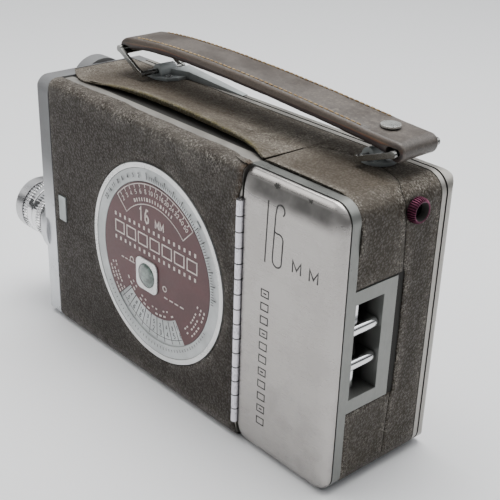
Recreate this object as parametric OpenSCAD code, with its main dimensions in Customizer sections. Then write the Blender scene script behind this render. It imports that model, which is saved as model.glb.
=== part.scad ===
// Magazine-loading cine camera for 16 mm film, with a clockwork drive.
// +X points to the rear, the lens looks along -X, +Z is up, and the dial side is at -Y.
// The origin is on the tripod socket's axis, in the plane of the underside.

/* [Body] */
// Length of the body without lens and eyepiece
body_len = 192; // [188:1:200]
// Height of the body
body_h = 120; // [118:1:126]
// Thickness from the dial side to the key side
body_t = 59; // [59:0.5:62]
// Corner radius of the body seen from the side
corner_r = 8; // [6:0.5:10]
// Radius of the long edges of the dial side
edge_r = 4.5; // [4:0.5:4.5]
// Thickness of the leather covering
leather_t = 0.8; // [0.6:0.1:0.8]

/* [Loading door] */
// Length of the door from its hinge line to the rear
door_len = 51.5; // [50:0.5:52]
// Height of the finger recess in the door
recess_h = 40; // [38:1:42]
// Stroke of each latch bar
latch_stroke = 4; // [2:0.5:4]

/* [Exposure dial] */
// Radius of the bezel around the dial
dial_r = 44; // [40:1:44]
// Radius of the printed face
face_r = 36; // [30:1:37]

/* [Lens] */
// Height of the lens axis
lens_z = 44; // [42:1:46]
// Outer radius of the lens
lens_r = 13.5; // [13:0.5:14]

/* [Handle] */
// Width of the carrying strap
strap_w = 20; // [16:1:20]
// Thickness of the carrying strap
strap_t = 4.8; // [4:0.2:5]

/* [Hidden] */
$fn = 48;

xf = -body_len / 2;             // front face
xr = body_len / 2;              // rear face
yl = -body_t / 2;               // dial side
yr = body_t / 2;                // key side
gap = 0.3;                      // seam between covers
wall = 2.4;                     // wall of the casting
front_t = 9.5;                  // depth of the front casting
front_edge_r = 1.2;             // edge round the front face
front_top_r = 7;                // corner of the front casting, top and dial side
xs = xf + front_t;              // seam between front casting and body
strip_y = yl + edge_r;          // where the rounded side cover meets the casting
strip_w = 4.3;                  // width of the bare metal strip beside the side cover
plate_t = 4.5;                  // depth of the key side plate
plate_y = yr - plate_t;         // inner edge of the key side plate
shadow_gap = 0.8;               // shadow line between casting and side plate
cast_y = plate_y - shadow_gap;  // edge of the casting on the key side
rim_w = 2.4;                    // bare rim of the casting on the key side

hinge_x = xr - door_len;        // hinge axis
hinge_r = 1.5;                  // radius of the hinge knuckles
hinge_y = yl - 0.4;             // hinge axis sits just outside the side face
hinge_z0 = 9;                   // lower end of the knuckles
hinge_z1 = 107;                 // upper end of the knuckles
knuckles = 15;                  // number of knuckles
pin_r = 0.6;                    // radius of the hinge pin
seam_y = 1.7;                   // door seam on the rear face
door_wall = 2;                  // wall of the door frame

chamber_z0 = 6.5;               // floor of the magazine chamber
chamber_z1 = 103.5;             // ceiling of the magazine chamber
chamber_y1 = -1;                // partition face in the chamber
part_y1 = 1.2;                  // partition face in the mechanism
bulkhead_x = -82;               // rear face of the bulkhead behind the front casting

dial_x = xr - 104.5;            // dial centre
dial_z = 59;
lens_y = -14;                   // lens axis, over the middle of the film
flange_x = xf - 3;              // lens seat; the film plane is 17.5 mm behind it
finder_y = 7;                   // finder axis
finder_z = 110.8;
finder_r = 4;                   // outer radius of the finder tube
hood_len = 7.5;                 // how far the hood stands out of the front face
hood_r = 13.2;                  // radius of the hood round the finder's front glass
hood_z = 108.6;                 // the hood sits a little below the finder axis
eye_x = xr;                     // eyepiece seat

plate_in_y = 3;                 // inner mechanism plate
plate_out_y = 20.2;             // outer mechanism plate
mech_t = 1.5;                   // thickness of both mechanism plates
barrel_x = 42;                  // spring barrel axis
barrel_z = 50;
gear_m = 0.8;                   // module of barrel gear and face gear
wheel_m = 0.6;                  // module of the fine wheels
barrel_n = 72;                  // teeth
first_pin_n = 12;
first_n = 48;
second_pin_n = 12;
face_n = 30;
shaft_n = 10;
shutter_n = 20;
second_x = -6;                  // second wheel axis, level with the shutter shaft
shaft_z = 56;
shaft_y = 8;                    // shutter shaft axis
shutter_y = shaft_y - shutter_n * wheel_m;
arbor_r = 4;                    // winding arbor
ratchet_n = 20;
ratchet_r = 10;
pawl_dir = 150;                 // from the arbor to the pawl's pivot
pawl_at = [barrel_x, barrel_z] + 15 * [cos(pawl_dir), sin(pawl_dir)];
key_y = yr + 2.2;               // fold axis of the winding key
key_len = 17;
key_w = 11;                     // half width of the key's handle
aperture_w = 10.3;              // film aperture
aperture_h = 7.5;

d1 = (barrel_n + first_pin_n) * gear_m / 2;      // centre distances
d2 = (first_n + second_pin_n) * wheel_m / 2;
d12 = norm([second_x - barrel_x, shaft_z - barrel_z]);
dir12 = atan2(shaft_z - barrel_z, second_x - barrel_x);
off1 = acos((d1 * d1 + d12 * d12 - d2 * d2) / (2 * d1 * d12));
dir1 = dir12 + off1;            // from the barrel to the first wheel
first_x = barrel_x + d1 * cos(dir1);
first_z = barrel_z + d1 * sin(dir1);
dir2 = atan2(shaft_z - first_z, second_x - first_x);
dirg = -110;                    // from the first wheel to the governor
gov_x = first_x + d2 * cos(dirg);
gov_z = first_z + d2 * sin(dirg);

strap_y = 14;                   // middle of the strap
post_f = [-60, 123.2];          // pivots of the strap loops, in X and Z
post_r = [71, 123.2];
loop_len = 17.5;                // from a loop's pivot to its crossbar
lean_f = 152;                   // direction of the front loop
lean_r = 21;                    // direction of the rear loop
wire_r = 1.1;                   // wire of the loops
bar_f = post_f + loop_len * [cos(lean_f), sin(lean_f)];
bar_r = post_r + loop_len * [cos(lean_r), sin(lean_r)];

block_w = 11;                   // half width of the tripod bush's block

speed_pos = [-38, 26];          // speed knob
button_pos = [-78.9, 60.9];     // run button, on the dial side
counter_pos = [-30, 90];        // counter disc
window_pos = [-39, 90];         // counter window

leather = [0.25, 0.225, 0.2];
silver = [0.75, 0.75, 0.76];
grey = [0.66, 0.67, 0.67];
steel = [0.55, 0.56, 0.58];
brass = [0.72, 0.6, 0.32];
maroon = [0.36, 0.12, 0.13];
black = [0.06, 0.06, 0.06];
glass = [0.7, 0.8, 0.85, 0.4];

// ---------- helpers ----------
// Extrudes an X-Z outline along Y from y0 to y1
module along_y(y0, y1) {
    translate([0, y1, 0]) rotate([90, 0, 0]) linear_extrude(y1 - y0) children();
}

// Extrudes a Y-Z outline along X from x0 to x1
module along_x(x0, x1) {
    translate([x0, 0, 0]) rotate([90, 0, 90]) linear_extrude(x1 - x0) children();
}

// Box between two corners
module box(a, b) {
    translate(a) cube(b - a);
}

// Cylinder along Y, at p in X and Z
module rod_y(p, r, y0, y1) {
    translate([p[0], y0, p[1]]) rotate([-90, 0, 0]) cylinder(r = r, h = y1 - y0);
}

// Cylinder along X, at p in Y and Z
module rod_x(p, r, x0, x1) {
    translate([x0, p[0], p[1]]) rotate([0, 90, 0]) cylinder(r = r, h = x1 - x0);
}

// Cylinder along Z, at p in X and Y
module rod_z(p, r, z0, z1) {
    translate([p[0], p[1], z0]) cylinder(r = r, h = z1 - z0);
}

// Rectangle from a to b whose corners have radii [low left, low right, high right, high left]
module round_rect(a, b, r) {
    at = [a, [b[0], a[1]], b, [a[0], b[1]]];
    difference() {
        translate(a) square(b - a);
        for (i = [0 : 3])
            if (r[i] > 0)
                translate(at[i]) rotate(90 * i) difference() {
                    translate([-1, -1]) square(r[i] + 1);
                    translate([r[i], r[i]]) circle(r[i]);
                }
    }
}

// Side outline of the body, shrunk by d, from x0 to the rear
module side_outline(x0, d, front_r = 0) {
    r = corner_r - d;
    f = front_r > 0 ? front_r - d : 0;
    round_rect([x0, d], [xr - d, body_h - d], [f, r, r, f]);
}

// Involute gear outline with a tooth at angle p; k is the addendum in modules
function inv_at(rb, r) = r <= rb ? 0 : let (a = acos(rb / r)) tan(a) * 180 / PI - a;
function gear_points(n, m, p, k, slack) =
    let (r = n * m / 2, rb = r * cos(20), ro = r + k * m, ri = r - (k + 0.3) * m,
         half = 90 / n + inv_at(rb, r) - slack / r * 180 / PI,
         rs = ri < rb ? [ri, rb, (rb + ro) / 2, ro] : [ri, (ri + ro) / 2, ro])
    [for (i = [0 : n - 1])
        let (c = p + i * 360 / n)
        each concat(
            [for (q = rs) let (a = c - half + inv_at(rb, q)) q * [cos(a), sin(a)]],
            [for (j = [len(rs) - 1 : -1 : 0]) let (q = rs[j], a = c + half - inv_at(rb, q)) q * [cos(a), sin(a)]])];
module gear(n, m, p = 0, k = 0.65, slack = 0.06) {
    polygon(gear_points(n, m, p, k, slack));
}
// Phase of a gear with nb teeth that meshes with a gear of na teeth and phase pa, lying in direction d from it
function mesh_phase(pa, na, nb, d) = d + 180 + ((d - pa) * na / 360 + 0.5) * 360 / nb;
first_pin_p = mesh_phase(0, barrel_n, first_pin_n, dir1);
second_pin_p = mesh_phase(0, first_n, second_pin_n, dir2);
gov_pin_p = mesh_phase(0, first_n, second_pin_n, dirg);

// Coil spring along Z from z0 to z1, as a swept six-sided wire
module coil(p, r, wire, turns, z0, z1, steps = 16, sides = 6) {
    n = turns * steps;
    rings = [for (i = [0 : n]) let (a = i * 360 / steps, z = z0 + wire + (z1 - z0 - 2 * wire) * i / n)
        for (j = [0 : sides - 1]) let (b = j * 360 / sides, q = r + wire * cos(b))
            [p[0] + q * cos(a), p[1] + q * sin(a), z + wire * sin(b)]];
    sides_f = [for (i = [0 : n - 1], j = [0 : sides - 1])
        let (k = (j + 1) % sides, a = i * sides + j, b = i * sides + k)
            each [[a, a + sides, b + sides], [a, b + sides, b]]];
    caps = [[for (j = [0 : sides - 1]) j], [for (j = [sides - 1 : -1 : 0]) n * sides + j]];
    polyhedron(rings, concat(sides_f, caps));
}

// ---------- body shell ----------
// Plan of the door's lid on the top and bottom faces, grown by d
module door_plan(d = 0) {
    x0 = hinge_x + 0.5;
    near = [x0 + 9, -0.06];         // tight bend by the hinge
    far = [66, -34];                // wide sweep to the rear
    far_r = 9 + norm(near - far);
    translate([x0 - d, yl - 1]) square([60, near[1] - yl + 1]);
    translate([88, -2]) square([20, seam_y + 2 + d]);
    intersection() {
        translate([x0 - 1, -1]) square([20, 20]);
        translate(near) circle(9 + d);
    }
    intersection() {
        translate([x0 + 6, -1]) square([60, 20]);
        translate(far) circle(far_r + d, $fn = 96);
    }
}

// Space taken by the door's walls, grown by d
module door_zone(d) {
    difference() {
        translate([0, 0, -1]) linear_extrude(body_h + 2) door_plan(d);
        along_y(yl - 2, 20) side_outline(hinge_x - 10, door_wall + d);
    }
    box([hinge_x + 0.5 - d, yl - 1, -1], [xr + 1, strip_y + 1.5, body_h + 1]);
}

module body_casting() color(silver) difference() {
    union() {
        along_y(strip_y, cast_y) side_outline(xs, leather_t);
        along_y(strip_y, strip_y + strip_w / 2) side_outline(xs, 0);
        along_y(cast_y - rim_w, cast_y) side_outline(xs, 0);
    }
    // mechanism space, open to the key side
    box([bulkhead_x, part_y1, 4.5], [xr - 4, cast_y + 1, chamber_z1]);
    // tunnel for the finder, above the magazine chamber
    box([bulkhead_x, strip_y + 1, chamber_z1 + 2], [xr - door_wall - 3, cast_y + 1, body_h - door_wall - 2]);
    // magazine chamber, open to the dial side and to the rear
    box([bulkhead_x, strip_y - 1, chamber_z0], [xr + 1, chamber_y1, chamber_z1]);
    // room for the latch rods at the rear of the chamber
    along_y(strip_y - 1, chamber_y1) side_outline(82, door_wall + 1.2);
    box([90, strip_y - 1, 7.8], [xr + 1, chamber_y1, body_h - 7.8]);
    // front pocket for the shutter, round the shutter shaft
    box([xs - 1, -25, 24], [bulkhead_x - 3, 19, 80]);
    // film aperture, claw slot and shaft bearings in the bulkhead
    box([xs - 1, lens_y - aperture_w / 2 - 1, lens_z - aperture_h / 2 - 1],
        [bulkhead_x + 1, lens_y + aperture_w / 2 + 1, lens_z + aperture_h / 2 + 1]);
    box([xs - 1, -21.4, 37.5], [bulkhead_x + 1, -19.2, 50.5]);
    rod_x([shaft_y, shaft_z], 1.06, xs - 1, bulkhead_x + 1);
    rod_x([shutter_y, shaft_z], 1.06, xs - 1, bulkhead_x + 1);
    // finder tube through bulkhead and rear wall
    rod_x([finder_y, finder_z], finder_r + 0.05, xs - 1, xr + 1);
    for (p = front_screw_at) rod_x(p, 1.12, xs - 1, bulkhead_x - 0.6);
    // pocket for the tripod bush and its block
    box([-block_w - 0.05, -block_w - 0.05, -1], [block_w + 0.05, block_w + 0.05, 4.5]);
    box([-5.2, -5.2, 4], [5.2, 5.2, 6.4]);
    door_zone(gap);
}

// Leather round the top, rear and underside of the casting
module body_leather() color(leather) difference() {
    union() {
        difference() {
            along_y(strip_y + strip_w / 2, cast_y - rim_w) side_outline(xs, 0);
            along_y(strip_y, cast_y) side_outline(xs - 1, leather_t);
        }
        // tongue over the front casting's top edge
        translate([0, 0, body_h - leather_t]) linear_extrude(leather_t) leather_tongue();
    }
    door_zone(gap);
    rod_z([0, 0], 8, -1, 2);
    rod_x([finder_y, finder_z], finder_r + 0.05, xr - 3, xr + 1);
    // wider gap beside the latch frame
    box([xr - 3, -1, latch_zm - recess_h / 2 - 6.2], [xr + 1, seam_y + 2.4, latch_zm + recess_h / 2 + 5.8]);
}

module front_shape(d) {
    r = d > 0 ? 0 : front_edge_r;
    intersection() {
        along_y(yl + d, yr - d) round_rect([xf + d, d], [xs, body_h - d], [r, 0, 0, r]);
        along_x(xf + d, xs) round_rect([yl + d, d], [yr - d, body_h - d],
            [edge_r, 3, 3, front_top_r - d]);
        translate([0, 0, d]) linear_extrude(body_h - 2 * d)
            round_rect([xf + d, yl + d], [xs, yr - d], [r, 0, 0, r]);
    }
}

module front_casting() color(silver) difference() {
    union() {
        front_shape(0);
        // seat of the lens, and the hood of the finder
        rod_x(lens_at, 17, xf - 1.8, xf + 3);
        rod_x([finder_y, hood_z], hood_r, xf - hood_len, xf + 0.5);
    }
    difference() {
        front_shape(wall);
        rod_x(lens_at, 17, xf - 3, xf + 5.5);
        rod_x([finder_y, finder_z], 11, xf - 3, xs + 1);
        for (p = front_screw_at) rod_x(p, 3.4, xf - 3, xs + 1);
    }
    rod_x(lens_at, lens_seat_r + 0.02, xf - 4, xs);
    rod_x([finder_y, finder_z], 9, xf - hood_len, xf + 1.75);
    rod_x([finder_y, finder_z], 8.1, xf, xf + 3);
    rod_x([finder_y, hood_z], hood_r - 1.8, xf - hood_len - 1, xf - 0.5);
    rod_x([finder_y, finder_z], finder_r + 0.05, xf - 3, xs + 1);
    // recess for the leather tongue
    translate([0, 0, body_h - leather_t]) linear_extrude(10) leather_tongue();
    for (p = front_screw_at) rod_x(p, 2.6, xf - 1, xf + 1.3);
    for (p = front_screw_at) rod_x(p, 1.12, xf - 1, xs + 1);
}

// Where the top leather runs on over the front casting
module leather_tongue() {
    edge_y = cast_y - rim_w;
    polygon([[xs, -14.5], [xf + 1.8, -10], [xf + 1.8, edge_y], [xs, edge_y]]);
}

front_screw_at = [[-22, 10], [22, 10], [-22, 88], [22, 96]];
module front_screws() color(steel) for (p = front_screw_at) slotted_screw_x(p);

// Screw whose head faces -X, with its head flush in the front face
module slotted_screw_x(p) {
    difference() {
        union() {
            rod_x(p, 2.5, xf + 0.2, xf + 1.2);
            rod_x(p, 1.1, xf + 1, xs + 3.7);
        }
        translate([xf, p[0], p[1]]) rotate([30, 0, 0]) cube([0.9, 6, 0.6], center = true);
    }
}

// Rounded shell over the magazine chamber, on the dial side
module side_shell(d, x0, x1) {
    along_x(x0, x1) round_rect([yl + d, d], [strip_y, body_h - d], [edge_r - d, 0, 0, edge_r - d]);
}

module side_cover() color(silver) difference() {
    side_shell(leather_t, xs, hinge_x - gap);
    box([xs - 1 + wall, yl + 2.2, wall], [hinge_x - 4, strip_y + 1, body_h - wall]);
    dial_pocket(1.6);
    hinge_groove(-1);
    button_slot();
}

module dial_pocket(depth) {
    rod_y([dial_x, dial_z], dial_r + 0.3, yl - 1, yl + depth);
}

// Groove for the knuckles and the leaf, on one side of the hinge
module hinge_groove(side) {
    z0 = hinge_z0 - 0.5;
    z1 = hinge_z1 + 0.5;
    rod_z([hinge_x, hinge_y], hinge_r + 0.25, z0, z1);
    x1 = hinge_x + side * 0.9;
    box([min(hinge_x, x1), yl - 1, z0], [max(hinge_x, x1), strip_y + 1, z1]);
    x2 = hinge_x + side * 9.2;
    box([min(hinge_x, x2), strip_y - 0.9, z0], [max(hinge_x, x2), strip_y + 1, z1]);
}

// Slot and rear pocket of the run button
module button_slot() {
    slot = [2.9, 6.2];
    translate([button_pos[0] - slot[0], yl - 1, button_pos[1] - slot[1]])
        cube([2 * slot[0], 4, 2 * slot[1]]);
    translate([button_pos[0] - slot[0] - 1, yl + 0.95, button_pos[1] - slot[1] - 1])
        cube([2 * slot[0] + 2, 4, 2 * slot[1] + 2]);
}

module side_leather() color(leather) difference() {
    side_shell(0, xs, hinge_x - gap);
    side_shell(leather_t, xs - 1, hinge_x + 1);
    dial_pocket(2);
    hinge_groove(-1);
    box([button_pos[0] - 2.9, yl - 1, button_pos[1] - 6.2], [button_pos[0] + 2.9, yl + 1.6, button_pos[1] + 6.2]);
}

// Push button in the side cover, with the flange that keeps it in
module run_button() color(grey) {
    translate([button_pos[0] - 2.7, yl - 0.5, button_pos[1] - 6]) cube([5.4, 1.7, 12]);
    translate([button_pos[0] - 3.6, yl + 1, button_pos[1] - 6.9]) cube([7.2, 0.3, 13.8]);
}

// Dished plate over the mechanism, on the key side
module side_plate() color(silver) difference() {
    intersection() {
        along_y(plate_y, yr) side_outline(xs, 0);
        along_x(xs, xr) round_rect([plate_y - 10, 0], [yr, body_h], [0, 3, 3, 0]);
        linear_extrude(body_h) round_rect([xs, plate_y - 10], [xr, yr], [0, 0, 3, 0]);
    }
    along_y(plate_y - 1, yr - 1.8) round_rect([xs + 3, 3], [xr - 3, body_h - 3], [2, 6, 6, 2]);
    side_panel(yr - leather_t, yr + 1, 0);
    rod_y([barrel_x, barrel_z], 4.2, plate_y, yr + 1);
    rod_y([barrel_x, barrel_z], 19, yr - 1.2, yr + 1);
    rod_y(speed_pos, 2.05, plate_y, yr + 1);
    rod_y(window_pos, 5, plate_y, yr + 1);
    for (p = plate_screw_at) rod_y(p, 1.2, plate_y - 1, yr + 1);
    for (p = plate_screw_at) rod_y(p, 2.6, yr - 1.2, yr + 1);
}

plate_screw_at = [[-79, 7], [89, 7], [-79, 113], [89, 113]];

// Outline of the leather panel on the side plate
module side_panel(y0, y1, d) {
    along_y(y0, y1) round_rect([xs + 4 + d, 4 + d], [xr - 4 - d, body_h - 4 - d], [3, 5, 5, 3]);
}

module side_plate_leather() color(leather) difference() {
    side_panel(yr - leather_t, yr, 0.05);
    rod_y([barrel_x, barrel_z], 19.2, yr - 2, yr + 1);
    rod_y(speed_pos, 11, yr - 2, yr + 1);
    rod_y(window_pos, 6.2, yr - 2, yr + 1);
    for (p = plate_screw_at) rod_y(p, 3.4, yr - 2, yr + 1);
}

module side_plate_screws() color(steel) for (p = plate_screw_at) difference() {
    union() {
        rod_y(p, 2.5, yr - 1.2, yr - 0.1);
        rod_y(p, 1.1, yr - 3, yr - 1);
    }
    translate([p[0], yr, p[1]]) rotate([0, 40, 0]) cube([6, 0.9, 0.6], center = true);
}

module tripod_bush() color(steel) difference() {
    union() {
        rod_z([0, 0], 7.95, 0, 1.55);
        // square block let into the floor of the casting
        box([-block_w, -block_w, leather_t + 0.05], [block_w, block_w, 4.45]);
        rod_z([0, 0], 4.95, 0, 6.3);
    }
    rod_z([0, 0], 2.6, -1, 5.6);
}

// ---------- hinge ----------
// Every second knuckle from number start, on a leaf that folds in through the seam
module leaf(start, side) {
    pitch = (hinge_z1 - hinge_z0) / knuckles;
    leaf_t = 0.6;
    near_x = hinge_x + side * 0.1;
    far_x = near_x + side * leaf_t;
    foot_x = hinge_x + side * 8.8;
    difference() {
        union() {
            for (i = [start : 2 : knuckles - 1]) {
                z0 = hinge_z0 + i * pitch + 0.1;
                z1 = hinge_z0 + (i + 1) * pitch - 0.1;
                rod_z([hinge_x, hinge_y], hinge_r, z0, z1);
                box([min(near_x, far_x), hinge_y, z0], [max(near_x, far_x), hinge_y + 2.5, z1]);
            }
            box([min(near_x, far_x), hinge_y + hinge_r + 0.2, hinge_z0 + 0.1],
                [max(near_x, far_x), strip_y - 0.1, hinge_z1 - 0.1]);
            box([min(near_x, foot_x), strip_y - 0.1 - leaf_t, hinge_z0 + 0.1],
                [max(near_x, foot_x), strip_y - 0.1, hinge_z1 - 0.1]);
        }
        rod_z([hinge_x, hinge_y], pin_r + 0.04, hinge_z0 - 1, hinge_z1 + 1);
    }
}
module hinge_leaf_body() color(steel) leaf(0, -1);
module hinge_leaf_door() color(steel) leaf(1, 1);
module hinge_pin() color(steel) rod_z([hinge_x, hinge_y], pin_r, hinge_z0, hinge_z1);

// ---------- loading door ----------
module door_panel() color(silver) difference() {
    x0 = hinge_x + gap;
    intersection() {
        along_y(yl, strip_y - 0.1) round_rect([x0, 0.2], [xr, body_h - 0.2], [3, corner_r, corner_r, 3]);
        along_x(x0, xr) round_rect([yl, 0.2], [strip_y + 10, body_h - 0.2], [edge_r, 0, 0, edge_r]);
        linear_extrude(body_h) round_rect([x0, yl], [xr, strip_y + 10], [0, edge_r, 0, 0]);
    }
    along_y(yl + 1.3, strip_y + 1)
        round_rect([x0 + 1.6, 2.2], [xr - 2, body_h - 2.2], [2, 6, 6, 2]);
    hinge_groove(1);
}

latch_y0 = -19.9;               // finger recess, across
latch_y1 = -5.1;
latch_zm = 61;                  // middle of the recess
pocket_x = 84.5;                // depth of the recess
rod_px = 89;                    // latch rods, in X
rod_py = -12.5;                 // and Y
rod_r = 1.5;                    // radius of the latch rods
spring_top = 37;                // from the middle of the recess to the latch spring's outer end
keeper_z = body_h - 7.8;        // underside of the upper keeper

// Latch frame outline on the rear face, in Y and Z
module latch_frame_plan(d) {
    translate([strip_y, latch_zm - recess_h / 2 - 5.8 - d])
        square([seam_y + d - strip_y, recess_h + 11.2 + 2 * d]);
}

module door_frame() color(grey) difference() {
    intersection() {
        union() {
            difference() {
                union() {
                    along_y(strip_y, 14) side_outline(hinge_x + 0.5, leather_t);
                    along_y(strip_y, strip_y + strip_w) side_outline(hinge_x + 0.5, 0);
                    along_x(xr - 3, xr) latch_frame_plan(0);
                }
                along_y(strip_y - 1, 20) side_outline(hinge_x - 5, door_wall);
            }
            // walls of the finger recess
            box([pocket_x - 1.2, latch_y0 - 1.2, latch_zm - recess_h / 2 - 1.2],
                [xr - door_wall + 0.1, latch_y1 + 1.2, latch_zm + recess_h / 2 + 1.2]);
            // inner flanges behind the panel
            box([hinge_x + 3.4, strip_y, door_wall - 0.1],
                [hinge_x + 10, strip_y + 1.2, body_h - door_wall + 0.1]);
            box([xr - door_wall - 2.6, strip_y, 10],
                [xr - door_wall + 0.1, strip_y + 1.2, body_h - 10]);
        }
        linear_extrude(body_h) door_plan(0);
    }
    // finger recess, and guide holes for the latch rods
    box([pocket_x, latch_y0, latch_zm - recess_h / 2], [xr + 1, latch_y1, latch_zm + recess_h / 2]);
    rod_z([rod_px, rod_py], rod_r + 0.06, latch_zm - recess_h, latch_zm + recess_h);
}

// Leather over the door's top and rear, stopping round the latch frame
module door_leather() color(leather) difference() {
    intersection() {
        along_y(strip_y + strip_w, 14) side_outline(hinge_x + 0.5, 0);
        linear_extrude(body_h) door_plan(0);
    }
    along_y(strip_y, 20) side_outline(hinge_x - 1, leather_t);
    along_x(xr - 4, xr + 1) latch_frame_plan(0.5);
}

// Finger bar with its rod; up is 1 for the upper bar and -1 for the lower one
module latch_bar(up) {
    bar_z = latch_zm + up * 7.3;
    tip = up > 0 ? keeper_z - 0.9 : body_h - keeper_z + 0.9;
    collar = latch_zm + up * (spring_top + 0.1);
    along_y(latch_y0 + 0.3, latch_y1 - 0.3)
        round_rect([rod_px - 3, bar_z - 2.4], [xr - 1.4, bar_z + 2.4], [0, 2.2, 2.2, 0]);
    rod_z([rod_px, rod_py], rod_r, min(bar_z, tip), max(bar_z, tip));
    rod_z([rod_px, rod_py], 2.7, min(collar, collar + up * 1.5), max(collar, collar + up * 1.5));
}
module latch_bar_upper() color(silver) latch_bar(1);
module latch_bar_lower() color(silver) latch_bar(-1);

module latch_spring_upper() color(steel)
    coil([rod_px, rod_py], 2.2, 0.4, 7, latch_zm + recess_h / 2 + 1.3, latch_zm + spring_top);
module latch_spring_lower() color(steel)
    coil([rod_px, rod_py], 2.2, 0.4, 7, latch_zm - spring_top, latch_zm - recess_h / 2 - 1.3);

// Drilled blocks on the casting that the latch rods enter
module latch_keepers() color(steel) difference() {
    for (z = [keeper_z, door_wall + 1.2]) box([83, rod_py - 4, z], [91.5, rod_py + 4, z + body_h - door_wall - 1.2 - keeper_z]);
    difference() {
        along_y(rod_py - 5, rod_py + 5) translate([80, 0]) square([20, body_h]);
        along_y(rod_py - 6, rod_py + 6) side_outline(70, door_wall + 1.2);
    }
    rod_z([rod_px, rod_py], rod_r + 0.2, -1, body_h + 1);
}

// Sprung plate on the door that pushes the magazine up to the gate
module magazine_pusher() color(steel) {
    plate_x = hinge_x - 6;
    back_x = pocket_x - 1.2;
    box([plate_x, -18, 40], [plate_x + 0.8, -7, 82]);
    for (z = [40, 81.2]) box([plate_x, -18, z], [back_x, -7, z + 0.8]);
    box([back_x - 0.8, -18, 40], [back_x, -7, 82]);
}

// ---------- exposure dial ----------
module ring_y(p, r0, r1, y0, y1) {
    difference() {
        rod_y(p, r1, y0, y1);
        rod_y(p, r0, y0 - 1, y1 + 1);
    }
}
dial_at = [dial_x, dial_z];
hub_at = dial_at - [5.3, 6.8];     // window escutcheon, below the dial's middle
module dial_bezel() color(silver) {
    ring_y(dial_at, dial_r - 2, dial_r + 0.2, yl - 0.4, yl + 1.6);
}
module dial_disc() color(grey) difference() {
    union() {
        rod_y(dial_at, dial_r - 2.15, yl + 0.5, yl + 1.5);
        ring_y(dial_at, face_r + 0.3, dial_r - 2.15, yl - 0.2, yl + 0.6);
        translate([dial_x, yl - 0.2, dial_z]) rotate([0, 135, 0]) translate([-dial_r + 2.6, -0.7, -1.5])
            cube([3, 1.4, 3]);
    }
    rod_y(dial_at, 13, yl, yl + 3);
}
module dial_face() color(maroon) difference() {
    rod_y(dial_at, face_r, yl - 0.2, yl + 0.4);
    rod_y(hub_at, 3.06, yl - 1, yl + 3);
    // window onto the lower disc
    intersection() {
        ring_y(dial_at, 24.5, face_r + 2, yl - 1, yl + 3);
        along_y(yl - 1, yl + 3) translate(dial_at) polygon([[0, 0], [-60, -54], [-40, -90], [60, -90]]);
    }
}
module dial_hub() color(silver) difference() {
    union() {
        rod_y(hub_at, 3, yl - 0.6, yl + 1.6);
        along_y(yl - 0.9, yl - 0.2) translate(hub_at)
            round_rect([-7.3, -7.3], [7.3, 7.3], [3, 3, 3, 3]);
    }
    rod_y(hub_at, 5.6, yl - 2, yl - 0.5);
}

// ---------- finder ----------
module finder_tube() color(black) difference() {
    rod_x([finder_y, finder_z], finder_r, xf + 3, xr - 0.8);
    rod_x([finder_y, finder_z], finder_r - 0.6, xf, xr + 1);
}
module finder_bezel() color(silver) difference() {
    union() {
        rod_x([finder_y, finder_z], 8.9, xf - 3.4, xf + 1.7);
        rod_x([finder_y, finder_z], 8, xf, xf + 2.9);
    }
    rod_x([finder_y, finder_z], 7, xf - 4, xf + 1.4);
    rod_x([finder_y, finder_z], 3.6, xf - 4, xf + 4);
}
module finder_glass() color(glass) rod_x([finder_y, finder_z], 6.95, xf - 1, xf + 1.3);
module eyepiece() color(maroon) difference() {
    union() {
        rod_x([finder_y, finder_z], 4.7, eye_x + 0.2, eye_x + 3.5);
        rod_x([finder_y, finder_z], finder_r - 0.66, eye_x - 6, eye_x + 1);
    }
    rod_x([finder_y, finder_z], 2.5, eye_x - 7, eye_x + 6);
    translate([eye_x + 1.8, finder_y, finder_z]) rotate([0, 90, 0]) cylinder(r1 = 2.5, r2 = 3.6, h = 1.9);
}
module eyepiece_glass() color(glass) rod_x([finder_y, finder_z], 2.48, eye_x - 1, eye_x + 1);

// ---------- lens ----------
lens_at = [lens_y, lens_z];
lens_seat_r = 14.8;             // bore of the front casting for the lens seat
c_thread_r = 12.7;              // bore for the lens thread, one inch across
module lens_mount_ring() color(steel) difference() {
    union() {
        rod_x(lens_at, 16, flange_x, xf - 1.8);
        rod_x(lens_at, lens_seat_r, flange_x, xf + 3.4);
    }
    rod_x(lens_at, c_thread_r, flange_x - 1, xf + 4);
}
module lens_barrel() color(silver) difference() {
    union() {
        rod_x(lens_at, c_thread_r - 0.05, flange_x - 3, flange_x + 4);
        rod_x(lens_at, lens_r, flange_x - 5, flange_x - 0.05);
        rod_x(lens_at, 10.2, flange_x - 26, flange_x - 4);
        rod_x(lens_at, lens_r, flange_x - 28, flange_x - 22);
    }
    rod_x(lens_at, 8, flange_x - 30, flange_x + 5);
    rod_x(lens_at, 9.5, flange_x - 26.5, flange_x - 20);
    rod_x(lens_at, 12, flange_x - 30, flange_x - 24.5);
}
module focus_ring() color(silver) difference() {
    rod_x(lens_at, lens_r + 0.5, flange_x - 13.5, flange_x - 5.3);
    rod_x(lens_at, 10.25, flange_x - 14, flange_x - 5);
}
module aperture_ring() color(silver) difference() {
    rod_x(lens_at, lens_r, flange_x - 21.7, flange_x - 13.8);
    rod_x(lens_at, 10.25, flange_x - 22, flange_x - 13);
}
module lens_front_glass() color(glass) intersection() {
    rod_x(lens_at, 9.45, flange_x - 24.4, flange_x - 20.2);
    translate([flange_x - 2.1, lens_y, lens_z]) sphere(22.2, $fn = 96);
}
module lens_rear_glass() color(glass) rod_x(lens_at, 7.95, flange_x - 2, flange_x + 1.5);

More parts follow.
